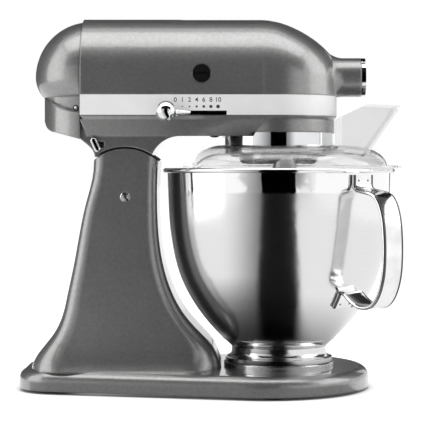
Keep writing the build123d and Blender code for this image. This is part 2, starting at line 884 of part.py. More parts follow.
def below_ridge(drop: float) -> None:
    """Everything under the ridge over the skirt, which falls towards the seam."""
    Polyline(
        (head_seam_x, ridge_low - drop),
        (head_seam_x + 20, ridge_low - drop),
        (head_seam_x + 20, bevel_low - 60),
        (head_seam_x - 60, bevel_low - 60),
        (head_seam_x - 60, ridge_z - drop),
        (head_seam_x - 38.7, ridge_z - drop),
    )
    ThreePointArc(
        (head_seam_x - 38.7, ridge_z - drop),
        (head_seam_x - 19, ridge_mid - drop),
        (head_seam_x, ridge_low - drop),
    )


with BuildPart() as rear_cover:
    # Skirt, under its ridge
    with BuildSketch(Plane.XY.offset(belly_low - 3)):
        tail_plan(0)
    extrude(amount=ridge_z - belly_low + 3)
    with BuildSketch(side_plane):
        with BuildLine():
            below_ridge(0)
        make_face()
    extrude(amount=100, both=True, mode=Mode.INTERSECT)
    with BuildPart(mode=Mode.PRIVATE) as skirt_hollow:
        with BuildSketch(Plane.XY.offset(belly_low - 30)):
            tail_plan(head_wall)
        extrude(amount=100)
        with BuildSketch(side_plane):
            with BuildLine():
                below_ridge(head_wall)
            make_face()
        extrude(amount=100, both=True, mode=Mode.INTERSECT)
    add(skirt_hollow.part, mode=Mode.SUBTRACT)
    with BuildSketch(Plane.YZ.offset(cover_axis_x)):
        with BuildLine():
            tail_profile(0)
        make_face()
    revolve(axis=cover_axis, revolution_arc=-180)
    with BuildSketch(Plane.YZ.offset(cover_axis_x)):
        with BuildLine():
            tail_profile(head_wall)
        make_face()
    revolve(axis=cover_axis, revolution_arc=-180, mode=Mode.SUBTRACT)
    # Slanted, rounded lower edge
    with BuildSketch(side_plane):
        with BuildLine():
            Polyline(
                (head_seam_x + 20, belly_low - 8),
                (head_seam_x, belly_low - 3),
                (head_seam_x - 26, belly_low + 4),
            )
            ThreePointArc(
                (head_seam_x - 26, belly_low + 4),
                (head_seam_x - 33, belly_low + 7),
                (head_seam_x - 37, belly_low + 14),
            )
            Polyline(
                (head_seam_x - 37, belly_low + 14),
                (head_seam_x - 60, belly_low + 14),
                (head_seam_x - 60, belly_low - 8),
                (head_seam_x + 20, belly_low - 8),
            )
        make_face()
    extrude(amount=100, both=True, mode=Mode.SUBTRACT)
    with Locations((head_seam_x - cover_gap, 0, head_spring)):
        Box(100, 200, 200, align=(Align.MIN, Align.CENTER, Align.CENTER), mode=Mode.SUBTRACT)
save(rear_cover.part, "rear_cover")

# ------------------------------------------------------------ motor, on the head
stator_x = motor_rear_x
commutator_x = brush_x - 7.0
commutator_length = 14.0
commutator_radius = 13.0
fan_x = -32.0
brush_size = 8.0
brush_length = 15.0
holder_out = head_half - head_wall - 1.2
plinth_rear = plinth_x - bearing_width


def x_disc(radius: float, bore: float) -> None:
    """Ring about the motor's axis, in a YZ sketch."""
    with Locations((0, motor_z)):
        Circle(radius)
        if bore:
            Circle(bore, mode=Mode.SUBTRACT)


with BuildPart() as stator:
    with BuildSketch(Plane.YZ.offset(stator_x)):
        x_disc(stator_radius, rotor_radius + air_gap)
    extrude(amount=motor_length)
    with BuildSketch(Plane.YZ.offset(stator_x)):
        with Locations((0, motor_z)):
            with PolarLocations(stator_radius, 4, start_angle=45):
                Circle(5.0)
    extrude(amount=motor_length, mode=Mode.SUBTRACT)
save(stator.part, "stator")

with BuildPart() as field_windings:
    for end_x, step in ((stator_x, -5.0), (stator_x + motor_length, 5.0)):
        with BuildSketch(Plane.YZ.offset(end_x)):
            with Locations((0, motor_z)):
                Circle(stator_radius - 7)
                Circle(rotor_radius + 4, mode=Mode.SUBTRACT)
        extrude(amount=step)
save(field_windings.part, "field_windings")

with BuildPart() as bearings:
    for bearing_x, outer, width in (
        (plinth_rear, bearing_radius, bearing_width),
        (mid_bulkhead_x, bearing_radius, mid_bulkhead),
        (nose_bulkhead_x, nose_bearing_radius, nose_bulkhead),
    ):
        with BuildSketch(Plane.YZ.offset(bearing_x)):
            x_disc(outer, shaft_radius + shaft_fit)
        extrude(amount=width)
save(bearings.part, "bearings")

with BuildPart() as brush_holders:
    for side in (-1, 1):
        with Locations((brush_x, side * (commutator_radius + 2 + holder_out) / 2, motor_z)):
            Box(brush_size + 4, holder_out - commutator_radius - 2, brush_size + 4)
            Box(brush_size + 0.4, holder_out, brush_size + 0.4, mode=Mode.SUBTRACT)
save(brush_holders.part, "brush_holders")

with BuildPart() as carbon_brushes:
    for side in (-1, 1):
        with Locations((brush_x, side * (commutator_radius + running_gap + brush_length / 2), motor_z)):
            Box(brush_size, brush_length, brush_size)
save(carbon_brushes.part, "carbon_brushes")

spring_start = commutator_radius + running_gap + brush_length
spring_end = holder_out - 4.0
with BuildPart() as brush_springs:
    for side in (-1, 1):
        with Locations(Location((brush_x, side * (spring_start + spring_end) / 2, motor_z), (90, 0, 0))):
            Cylinder(3.2, spring_end - spring_start)
            Cylinder(2.2, spring_end - spring_start, mode=Mode.SUBTRACT)
save(brush_springs.part, "brush_springs")

with BuildPart() as brush_caps:
    for side in (-1, 1):
        with Locations(Location((brush_x, side * (spring_end + head_half + 0.8) / 2, motor_z), (90, 0, 0))):
            Cylinder(3.9, head_half + 0.8 - spring_end)
        with Locations(Location((brush_x, side * (head_half - 1.2), motor_z), (90, 0, 0))):
            Cylinder(brush_cap_radius, 4.0)
        with Locations((brush_x, side * (head_half + 0.8), motor_z)):
            Box(2 * brush_cap_radius, 2.6, 1.8, mode=Mode.SUBTRACT)
save(brush_caps.part, "brush_caps")

# -------------------------------------------------------------------- armature
with BuildPart() as motor_shaft:
    with BuildSketch(Plane.YZ.offset(plinth_rear)):
        x_disc(shaft_radius, 0)
    extrude(amount=nose_bulkhead_x + nose_bulkhead - plinth_rear)
save(motor_shaft.part, "motor_shaft")

with BuildPart() as armature:
    with BuildSketch(Plane.YZ.offset(stator_x + 2)):
        x_disc(rotor_radius, shaft_radius)
        with Locations((0, motor_z)):
            with PolarLocations(rotor_radius, 12):
                Rectangle(5, 2.2, mode=Mode.SUBTRACT)
    extrude(amount=motor_length - 4)
save(armature.part, "armature")

with BuildPart() as commutator:
    with BuildSketch(Plane.YZ.offset(commutator_x)):
        x_disc(commutator_radius, shaft_radius)
    extrude(amount=commutator_length - 2)
save(commutator.part, "commutator")

with BuildPart() as cooling_fan:
    with BuildSketch(Plane.YZ.offset(fan_x + 7)):
        x_disc(26, shaft_radius)
    extrude(amount=1.6)
    with BuildSketch(Plane.YZ.offset(fan_x + 8)):
        with Locations((0, motor_z)):
            Circle(9)
            Circle(shaft_radius, mode=Mode.SUBTRACT)
            with PolarLocations(17, 9):
                Rectangle(17, 1.8)
    extrude(amount=-6)
save(cooling_fan.part, "cooling_fan")

worm_x = wheel_x - worm_length / 2
with BuildPart() as worm:
    with BuildSketch(Plane.YZ.offset(worm_x)):
        x_disc(worm_radius - 1.6, shaft_radius)
    extrude(amount=worm_length)
    for turn in range(5):
        with BuildSketch(Plane.YZ.offset(worm_x + 1 + turn * 4.0)):
            x_disc(worm_radius, shaft_radius)
        extrude(amount=2.0)
save(worm.part, "worm")

# ------------------------------------------------------------------ worm wheel
with BuildPart() as worm_wheel:
    with BuildSketch(Plane.XY.offset(motor_z - gear_width / 2)):
        with Locations((wheel_x, wheel_y)):
            gear_outline(wheel_teeth, wheel_module)
            Circle(wheel_shaft, mode=Mode.SUBTRACT)
    extrude(amount=gear_width)
save(worm_wheel.part, "worm_wheel")

with BuildPart() as pinion_shaft:
    with BuildSketch(Plane.XY.offset(floor_z - 1.7)):
        with Locations((wheel_x, wheel_y)):
            Circle(wheel_shaft)
    extrude(amount=motor_z + gear_width / 2 + 3 - floor_z)
    with BuildSketch(Plane.XY.offset(centre_gear_z - gear_width / 2 - 1)):
        with Locations((wheel_x, wheel_y)):
            gear_outline(pinion_teeth, spur_module)
    extrude(amount=gear_width + 2)
save(pinion_shaft.part, "pinion_shaft")

# ------------------------------------------------------------------ planetary
bevel_radius = 26.0
bevel_small = 14.0
bevel_face = 0.27
bevel_big_z = hub_z - bevel_small
bevel_height = bevel_small * bevel_face
planet_azimuth = radians(-80.0)
planet_x = bowl_x + planet_offset * cos(planet_azimuth)
planet_y = planet_offset * sin(planet_azimuth)
planet_tip = planet_module * (planet_teeth / 2 + 0.9)
ring_bore = planet_offset + planet_tip + running_gap
carrier_top = gearcase_low - 13.0

with BuildPart() as centre_shaft:
    with BuildSketch(Plane.XY.offset(planetary_low + 4)):
        with Locations((bowl_x, 0)):
            Circle(centre_shaft_radius)
    extrude(amount=bevel_big_z - planetary_low - 4)
save(centre_shaft.part, "centre_shaft")

with BuildPart() as centre_gear:
    with BuildSketch(Plane.XY.offset(centre_gear_z - gear_width / 2)):
        with Locations((bowl_x, 0)):
            gear_outline(centre_teeth, spur_module)
            Circle(centre_shaft_radius, mode=Mode.SUBTRACT)
            with PolarLocations(25, 6):
                Circle(7, mode=Mode.SUBTRACT)
    extrude(amount=gear_width)
save(centre_gear.part, "centre_gear")

with BuildPart() as bevel_gear:
    with BuildSketch(Plane.XY.offset(bevel_big_z - 5)):
        with Locations((bowl_x, 0)):
            Circle(bevel_radius)
            Circle(centre_shaft_radius, mode=Mode.SUBTRACT)
    extrude(amount=5)
    with Locations((bowl_x, 0, bevel_big_z)):
        Cone(
            bevel_radius,
            bevel_radius * (1 - bevel_face),
            bevel_height - running_gap,
            align=(Align.CENTER, Align.CENTER, Align.MIN),
        )
        with PolarLocations(bevel_radius, 24):
            Box(16, 2.2, 4.4, mode=Mode.SUBTRACT)
save(bevel_gear.part, "bevel_gear")

with BuildPart() as planetary:
    with BuildSketch(Plane.XY.offset(planetary_low + 2)):
        with Locations((bowl_x, 0)):
            Circle(planetary_radius)
    extrude(amount=carrier_top - planetary_low - 2)
    fillet(planetary.faces().sort_by(Axis.Z)[0].edges(), 8)
    with BuildSketch(Plane.XY.offset(planetary_low - boss_drop)):
        with Locations((planet_x, planet_y)):
            Circle(boss_radius)
    extrude(amount=carrier_top - planetary_low + boss_drop)
    with BuildSketch(Plane.XY.offset(planetary_low - 20)):
        with Locations((planet_x, planet_y)):
            Circle(agitator_radius + shaft_fit)
    extrude(amount=60, mode=Mode.SUBTRACT)
    with BuildSketch(Plane.XY.offset(planetary_low + 4)):
        with Locations((bowl_x, 0)):
            Circle(centre_shaft_radius)
    extrude(amount=60, mode=Mode.SUBTRACT)
save(planetary.part, "planetary")

# ------------------------------------------------------------------- agitator
planet_low = carrier_top + running_gap
planet_high = gearcase_low - 1.0
with BuildPart() as agitator_shaft:
    with BuildSketch(Plane.XY.offset(agitator_low)):
        with Locations((planet_x, planet_y)):
            Circle(agitator_radius)
    extrude(amount=planet_high - agitator_low)
    chamfer(agitator_shaft.faces().sort_by(Axis.Z)[0].edges(), 1.2)
save(agitator_shaft.part, "agitator_shaft")

with BuildPart() as planet_pinion:
    with BuildSketch(Plane.XY.offset(planet_low)):
        with Locations((planet_x, planet_y)):
            gear_outline(planet_teeth, planet_module)
            Circle(agitator_radius, mode=Mode.SUBTRACT)
    extrude(amount=planet_high - planet_low)
save(planet_pinion.part, "planet_pinion")

with BuildPart() as cross_pin:
    for side in (-1, 1):
        with Locations(
            Location((planet_x + side * (agitator_radius + 1.6), planet_y, agitator_low + 14), (0, 90, 0))
        ):
            Cylinder(1.9, 3.2)
save(cross_pin.part, "cross_pin")

with BuildPart() as ring_gear:
    with BuildSketch(Plane.XY.offset(planet_low)):
        with Locations((bowl_x, 0)):
            Circle(ring_outer)
            Circle(ring_bore + 2.6, mode=Mode.SUBTRACT)
            with PolarLocations(ring_bore + 1.5, ring_teeth):
                Rectangle(3.0, 2.0)
    extrude(amount=gearcase_low - planet_low)
save(ring_gear.part, "ring_gear")

with BuildPart() as drip_ring:
    with BuildSketch(Plane.XY.offset(drip_low)):
        with Locations((bowl_x, 0)):
            Circle(drip_radius)
            Circle(ring_outer + 0.05, mode=Mode.SUBTRACT)
    extrude(amount=gearcase_low - drip_low)
    outer_low = drip_ring.faces().group_by(Axis.Z)[0].edges().sort_by(SortBy.RADIUS)[-1]
    fillet(outer_low, 1.6)
save(drip_ring.part, "drip_ring")

# ----------------------------------------------------------- attachment drive
bevel_back_x = bowl_x + bevel_radius
with BuildPart() as attachment_drive:
    with BuildSketch(Plane.YZ.offset(bevel_back_x)):
        with Locations((0, hub_z)):
            Circle(drive_radius)
    extrude(amount=sleeve_end_x - running_gap - bevel_back_x)
    with BuildSketch(Plane.YZ.offset(sleeve_end_x - 16)):
        with Locations((0, hub_z)):
            Rectangle(8.2, 8.2)
    extrude(amount=30, mode=Mode.SUBTRACT)
save(attachment_drive.part, "attachment_drive")

with BuildPart() as bevel_pinion:
    with Locations(Location((bevel_back_x, 0, hub_z), (0, -90, 0))):
        Cone(
            bevel_small - running_gap,
            bevel_small * (1 - bevel_face) - running_gap,
            bevel_radius * bevel_face,
            align=(Align.CENTER, Align.CENTER, Align.MIN),
        )
        with PolarLocations(bevel_small, 13):
            Box(4.4, 2.2, 30, mode=Mode.SUBTRACT)
save(bevel_pinion.part, "bevel_pinion")

# ------------------------------------------------------------------- hub cover
hinge_drop = 3.2
cover_pin_x = hub_end_x + 2.3
cover_pin_z = hub_z + hub_radius - hinge_drop
knuckle = 3.5
ear_in = knuckle + 0.3
ear_out = 9.0
cover_pin_radius = 1.2

with BuildPart() as hub_ears:
    with BuildSketch(Plane.YZ.offset(hub_end_x)):
        with Locations((0, hub_z)):
            Circle(hub_radius)
        with Locations((0, cover_pin_z - 2.2)):
            Rectangle(80, 80, align=(Align.CENTER, Align.MAX), mode=Mode.SUBTRACT)
        Rectangle(2 * ear_in, 1000, mode=Mode.SUBTRACT)
    extrude(amount=hub_cap_thick)
    with Locations(Location((cover_pin_x, 0, cover_pin_z), (90, 0, 0))):
        Cylinder(cover_pin_radius, 60, mode=Mode.SUBTRACT)
save(hub_ears.part, "hub_ears")

with BuildPart() as hub_cover:
    with BuildSketch(Plane.YZ.offset(hub_end_x + seat_gap)):
        with Locations((0, hub_z)):
            Circle(hub_radius)
        with Locations((0, cover_pin_z - 3.4)):
            Rectangle(80, 80, align=(Align.CENTER, Align.MIN), mode=Mode.SUBTRACT)
    extrude(amount=hub_cap_thick - seat_gap)
    with BuildSketch(side_plane):
        with Locations((cover_pin_x, cover_pin_z)):
            Circle(2.0)
            Rectangle(4.0, 5.0, align=(Align.CENTER, Align.MAX))
            Circle(cover_pin_radius + pin_fit, mode=Mode.SUBTRACT)
    extrude(amount=knuckle, both=True)
save(hub_cover.part, "hub_cover")

with BuildPart() as cover_pin:
    with Locations(Location((cover_pin_x, 0, cover_pin_z), (90, 0, 0))):
        Cylinder(cover_pin_radius, 2 * ear_out)
save(cover_pin.part, "cover_pin")

# ------------------------------------------------------------- attachment knob
with BuildPart() as attachment_knob:
    with BuildSketch(Plane.XZ.offset(-hub_radius - 2)):
        with Locations((clamp_knob_x, hub_z)):
            Circle(clamp_knob_radius)
            with PolarLocations(clamp_knob_radius + 2.4, 8):
                Circle(4.2, mode=Mode.SUBTRACT)
    extrude(amount=-15)
    fillet(attachment_knob.faces().sort_by(Axis.Y)[-1].edges(), 1.5)
    with Locations(Location((clamp_knob_x, (hub_bore + hub_radius + 3) / 2 + 0.6, hub_z), (90, 0, 0))):
        Cylinder(3.0, hub_radius + 3 - hub_bore)
save(attachment_knob.part, "attachment_knob")

# ----------------------------------------------------------------- speed lever
knob_x = lever_x - 8.6
knob_y = -head_half - knob_radius - 0.6
lever_z = band_low + slot_height / 2
stem_half = 1.7
with BuildPart() as speed_lever:
    with Locations((knob_x, knob_y, lever_z + 1)):
        Sphere(knob_radius)
    with BuildSketch(Plane.YZ.offset(knob_x + 4)):
        with Locations((knob_y, lever_z)):
            Circle(4.2)
    with BuildSketch(Plane.YZ.offset(lever_x + 14)):
        with Locations((-head_half - 2.6, lever_z)):
            Circle(stem_half - 0.2)
    loft()
    with Locations((lever_x, -head_half + 4, lever_z)):
        Box(4.0, 20.0, 2 * stem_half)
save(speed_lever.part, "speed_lever")

with BuildPart() as governor_link:
    with Locations((lever_x, -head_half + 17, lever_z)):
        Box(26.0, 6.0, 10.0)
save(governor_link.part, "governor_link")

# ------------------------------------------------------------------ lock lever
paddle_y = -neck_half - seat_gap
with BuildPart() as lock_lever:
    with BuildSketch(Plane.XZ.offset(-paddle_y)):
        with Locations((lock_x - lock_travel / 2, lock_z)):
            SlotOverall(15, 6.4, rotation=115)
    extrude(amount=4.5)
    fillet(lock_lever.faces().sort_by(Axis.Y)[0].edges(), 2.2)
    with Locations((lock_x - lock_travel / 2, paddle_y + 4, lock_z)):
        Box(4.6, 9.0, 5.0)
save(lock_lever.part, "lock_lever")
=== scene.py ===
"""Looks of the tilt-head stand mixer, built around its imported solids.

Each sub-assembly is a class that dresses its own solids and adds its small pieces.
Lengths are metres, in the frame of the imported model: +X to the hub, +Z up.
"""

import logging
import math
from dataclasses import dataclass, field
from enum import Enum

import bmesh
import bpy
from bmesh.types import BMesh, BMVert
from bpy.types import Material, Node, NodeSocket, NodeTree, Object
from mathutils import Matrix, Vector


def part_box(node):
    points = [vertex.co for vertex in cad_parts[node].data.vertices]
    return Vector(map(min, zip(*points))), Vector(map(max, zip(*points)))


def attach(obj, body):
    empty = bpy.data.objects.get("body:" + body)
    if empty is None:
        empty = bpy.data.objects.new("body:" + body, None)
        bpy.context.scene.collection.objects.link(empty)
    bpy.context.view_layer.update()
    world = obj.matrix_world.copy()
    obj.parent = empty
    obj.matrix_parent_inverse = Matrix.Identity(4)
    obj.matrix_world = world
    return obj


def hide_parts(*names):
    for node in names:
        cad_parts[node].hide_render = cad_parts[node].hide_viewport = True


LOG = logging.getLogger("mixer")
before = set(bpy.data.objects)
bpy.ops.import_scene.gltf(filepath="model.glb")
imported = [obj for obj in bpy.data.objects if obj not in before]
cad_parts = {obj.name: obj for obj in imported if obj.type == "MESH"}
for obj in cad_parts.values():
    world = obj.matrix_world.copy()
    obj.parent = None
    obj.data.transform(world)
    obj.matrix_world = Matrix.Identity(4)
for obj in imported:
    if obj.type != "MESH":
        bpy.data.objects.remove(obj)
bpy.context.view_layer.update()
MM = 0.001

BOWL_X = 65.0 * MM
OUTSIDE = 1.0
FRONT = Vector((0.0, -1.0, 0.0))
UP = Vector((0.0, 0.0, 1.0))
WHITE = (1.0, 1.0, 1.0)

Triple = tuple[float, float, float]
Value = NodeSocket | float | Triple
Inputs = dict[str | int, Value]


# ------------------------------------------------------------------ shader kit
class Wire:
    """Thin helper around a node tree, so that materials read as short recipes."""

    def __init__(self, tree: NodeTree) -> None:
        """Keep the tree that nodes are added to.

        Args:
            tree: The material's or the group's node tree.
        """
        self.tree = tree

    def add(self, kind: str, inputs: Inputs | None = None, **settings: object) -> Node:
        """Add a node.

        Args:
            kind: The node's type name, without the ShaderNode prefix.
            inputs: What its inputs get, as feed takes it.
            settings: Attributes set on the new node.

        Returns:
            The node.
        """
        node = self.tree.nodes.new("ShaderNode" + kind)
        for name, value in settings.items():
            setattr(node, name, value)
        self.feed(node, inputs or {})
        return node

    def feed(self, node: Node, inputs: Inputs) -> None:
        """Give a node's inputs their values, or link them to the sockets that give these.

        Args:
            node: The node.
            inputs: Sockets, numbers or colours, by the names or the places of its inputs.
        """
        for label, value in inputs.items():
            if isinstance(value, NodeSocket):
                self.tree.links.new(value, node.inputs[label])
            else:
                node.inputs[label].default_value = (*value, 1.0) if isinstance(value, tuple) else value

    def maths(self, operation: str, first: Value, second: Value = 0.0) -> NodeSocket:
        """Add a maths node.

        Args:
            operation: Name of the operation, as Blender writes it.
            first: A socket or a number.
            second: A socket or a number.

        Returns:
            The result's socket.
        """
        return self.add("Math", {0: first, 1: second}, operation=operation).outputs[0]

    def times(self, first: Value, second: Value) -> NodeSocket:
        """Return the product of two sockets or numbers."""
        return self.maths("MULTIPLY", first, second)

    def ramp(self, value: NodeSocket, low: float, high: float,
             out_low: float = 0.0, out_high: float = 1.0) -> NodeSocket:
        """Map a value smoothly from one range to another.

        Args:
            value: The socket to map.
            low: Start of the input range.
            high: End of the input range.
            out_low: Result at the start.
            out_high: Result at the end.

        Returns:
            The mapped value's socket.
        """
        ranges = {"Value": value, "From Min": low, "From Max": high, "To Min": out_low, "To Max": out_high}
        return self.add("MapRange", ranges, interpolation_type="SMOOTHSTEP").outputs["Result"]

    def blend(self, factor: NodeSocket, first: Value, second: Value) -> NodeSocket:
        """Mix two colours.

        Args:
            factor: How much of the second colour.
            first: A colour or a socket.
            second: A colour or a socket.

        Returns:
            The mixed colour's socket.
        """
        return self.add("Mix", {0: factor, 6: first, 7: second}, data_type="RGBA").outputs[2]

    def noise(self, where: NodeSocket, scale: Value,
              detail: float = 2.0, distortion: float = 0.0) -> NodeSocket:
        """Add cloudy noise.

        Args:
            where: The point that it is read at.
            scale: How fine it is.
            detail: How many finer layers it has.
            distortion: How far it is warped.

        Returns:
            The noise's socket.
        """
        settings = {"Vector": where, "Scale": scale, "Detail": detail, "Distortion": distortion}
        return self.add("TexNoise", settings).outputs["Fac"]

    def place(self) -> NodeSocket:
        """Return the surface point in the part's own frame."""
        return self.add("TexCoord").outputs["Object"]

    def split(self) -> bpy.types.bpy_prop_collection:
        """Return the surface point's X, Y and Z."""
        return self.add("SeparateXYZ", {0: self.place()}).outputs


def new_group(name: str, inputs: dict[str, float],
              outputs: tuple[str, ...]) -> tuple[Wire, Node, Node]:
    """Start a shader node group with named number sockets.

    Args:
        name: The group's name.
        inputs: Input names with their default values.
        outputs: Output names.

    Returns:
        A helper around the group's tree, its input node and its output node.
    """
    tree = bpy.data.node_groups.new(name, "ShaderNodeTree")
    for label, value in inputs.items():
        socket = tree.interface.new_socket(label, in_out="INPUT", socket_type="NodeSocketFloat")
        socket.default_value = value
    for label in outputs:
        tree.interface.new_socket(label, in_out="OUTPUT", socket_type="NodeSocketFloat")
    return Wire(tree), tree.nodes.new("NodeGroupInput"), tree.nodes.new("NodeGroupOutput")


def new_material(name: str) -> tuple[Material, Wire, Node]:
    """Start a material.

    Args:
        name: Its name.

    Returns:
        The material, a helper around its nodes, and its shader.
    """
    material = bpy.data.materials.new(name)
    material.use_nodes = True
    return material, Wire(material.node_tree), material.node_tree.nodes["Principled BSDF"]


def flake_group() -> NodeTree:
    """Build metal flakes under clear lacquer: a mask of bright specks and a soft cloud.

    Returns:
        The group's tree.
    """
    wire, given, result = new_group("metal_flake", {"Flakes per metre": 1500.0, "Share": 0.3},
                                    ("Speck", "Cloud"))
    where = wire.place()
    cells = wire.add("TexVoronoi", {"Vector": where, "Scale": given.outputs["Flakes per metre"]},
                     feature="F1")
    draws = wire.add("SeparateColor", {0: cells.outputs["Color"]}).outputs
    bright = wire.maths("LESS_THAN", draws[0], given.outputs["Share"])
    wire.feed(result, {"Speck": wire.times(bright, draws[1]),
                       "Cloud": wire.noise(where, scale=320.0, detail=4.0)})
    return wire.tree


def grain_group() -> NodeTree:
    """Build fine moulded or blasted grain, as a height and a mask.

    Returns:
        The group's tree.
    """
    wire, given, result = new_group("fine_grain", {"Scale": 900.0}, ("Height", "Mask"))
    where = wire.place()
    wire.feed(result, {"Height": wire.noise(where, scale=given.outputs["Scale"], detail=5.0),
                       "Mask": wire.ramp(wire.noise(where, scale=60.0), low=0.35, high=0.65)})
    return wire.tree


def smudge_group() -> NodeTree:
    """Build faint wiping marks and dust, as a roughness shift.

    Returns:
        The group's tree.
    """
    wire, given, result = new_group("wiping_marks", {"Base": 0.1, "Amount": 0.05}, ("Roughness", "Dust"))
    dust = wire.ramp(wire.noise(wire.place(), scale=38.0, detail=6.0, distortion=0.6), low=0.3, high=0.75)
    shift = wire.times(dust, given.outputs["Amount"])
    wire.feed(result, {"Roughness": wire.maths("ADD", shift, given.outputs["Base"]), "Dust": dust})
    return wire.tree


def turning_group() -> NodeTree:
    """Build fine lines round a vertical axis, as brushing and turning leave them.

    Returns:
        The group's tree.
    """
    changes_per_radian = 2.2
    wire, given, result = new_group("turned_lines", {"Lines per metre": 4000.0, "Axis x": 0.0}, ("Line",))
    where = wire.split()
    turn = wire.maths("ARCTAN2", where["Y"], wire.maths("SUBTRACT", where["X"], given.outputs["Axis x"]))
    joined = wire.add("CombineXYZ", {"X": wire.times(turn, changes_per_radian),
                                     "Z": wire.times(where["Z"], given.outputs["Lines per metre"])})
    wire.feed(result, {"Line": wire.noise(joined.outputs[0], scale=1.0, detail=3.0)})
    return wire.tree


# ------------------------------------------------------------------ finishes
@dataclass(frozen=True)
class Finish:
    """What a plain finish is made of."""

    colour: Triple
    rough: float = 0.3
    metal: float = 0.0
    coat: float = 0.0
    uneven: float = 0.06
    grain_scale: float = 900.0
    grain_height: float = 0.0
    shade: float = 0.12
    gloss: float = 0.5
    coat_rough: float = 0.15
    grain_depth: float = 0.1 * MM


class Look(Enum):
    """Every plain finish of the mixer."""

    SILVER = Finish((0.79, 0.79, 0.79), 0.42, 0.15, 0.0, 0.05, 2400.0, 0.03, 0.03)
    CHROME = Finish((0.80, 0.81, 0.82), 0.045, 1.0, 0.0, 0.03, 300.0, 0.0, 0.04)
    RUBBER = Finish((0.022, 0.022, 0.023), 0.62, 0.0, 0.0, 0.12, 700.0, 0.25, 0.35)
    BLACK_PLASTIC = Finish((0.004, 0.004, 0.004), 0.45, 0.0, 0.0, 0.10, 1600.0, 0.10, 0.3, 0.15)
    CASTING = Finish((0.33, 0.33, 0.335), 0.52, 0.9, 0.0, 0.15, 800.0, 0.35, 0.3)
    MACHINED = Finish((0.52, 0.525, 0.53), 0.22, 1.0, 0.0, 0.10, 2600.0, 0.08, 0.15)
    BRONZE = Finish((0.52, 0.31, 0.13), 0.27, 1.0, 0.0, 0.12, 1500.0, 0.08, 0.3)
    COPPER = Finish((0.60, 0.22, 0.09), 0.28, 1.0, 0.3, 0.10, 1200.0, 0.10, 0.3)
    CARBON = Finish((0.030, 0.030, 0.032), 0.48, 0.1, 0.0, 0.10, 1800.0, 0.20, 0.3)
    # Dark steel for painted reflections: the dark lines along the strap handle's rolled edges.
    PAINTED_REFLECTION_STEEL = Finish((0.10, 0.10, 0.10), 0.20, 1.0, 0.0, 0.05, 1400.0, 0.02, 0.08)
    HANDLE_STEEL = Finish((0.90, 0.90, 0.90), 0.10, 1.0, 0.0, 0.05, 1400.0, 0.02, 0.08)
    INK = Finish((0.030, 0.030, 0.032), 0.5, 0.0, 0.0, 0.10, 3000.0, 0.02, 0.3)


@dataclass(frozen=True)
class EnamelRecipe:
    """Dark silver paint with fine metal flake under clear lacquer."""

    dark: Triple = (0.245, 0.242, 0.240)
    light: Triple = (0.280, 0.277, 0.275)
    flake: Triple = (0.52, 0.516, 0.512)
    flakes_per_metre: float = 3800.0
    flake_share: float = 0.22
    flake_strength: float = 0.40
    cloud: tuple[float, float] = (0.30, 0.70)
    metal: float = 0.80
    rough: float = 0.35
    uneven: float = 0.03
    coat: float = 1.0
    coat_rough: float = 0.05
    coat_ior: float = 1.5
    peel_scale: float = 420.0
    peel_strength: float = 0.02
    peel_depth: float = 0.05 * MM
    corner: float = 2.5 * MM
    corner_samples: int = 6


@dataclass(frozen=True)
class BowlRecipe:
    """Stainless steel, polished at the mouth and brushed round below it."""

    light: Triple = (0.84, 0.84, 0.84)
    dark: Triple = (0.71, 0.71, 0.71)
    polish_z: float = 188.6 * MM
    polish_edge: float = 1.5 * MM
    lines_per_metre: float = 5200.0
    metal: float = 1.0
    rough: float = 0.04
    uneven: float = 0.015
    brushed_rough: float = 0.08
    line_rough: float = 0.05
    line_strength: float = 0.05
    line_depth: float = 0.02 * MM


@dataclass(frozen=True)
class ClearRecipe:
    """Clear moulded plastic, faintly grey, with handling marks."""

    clean: Triple = (0.90, 0.90, 0.90)
    dusty: Triple = (0.87, 0.87, 0.87)
    clearness: float = 1.0
    ior: float = 1.49
    rough: float = 0.03
    uneven: float = 0.05


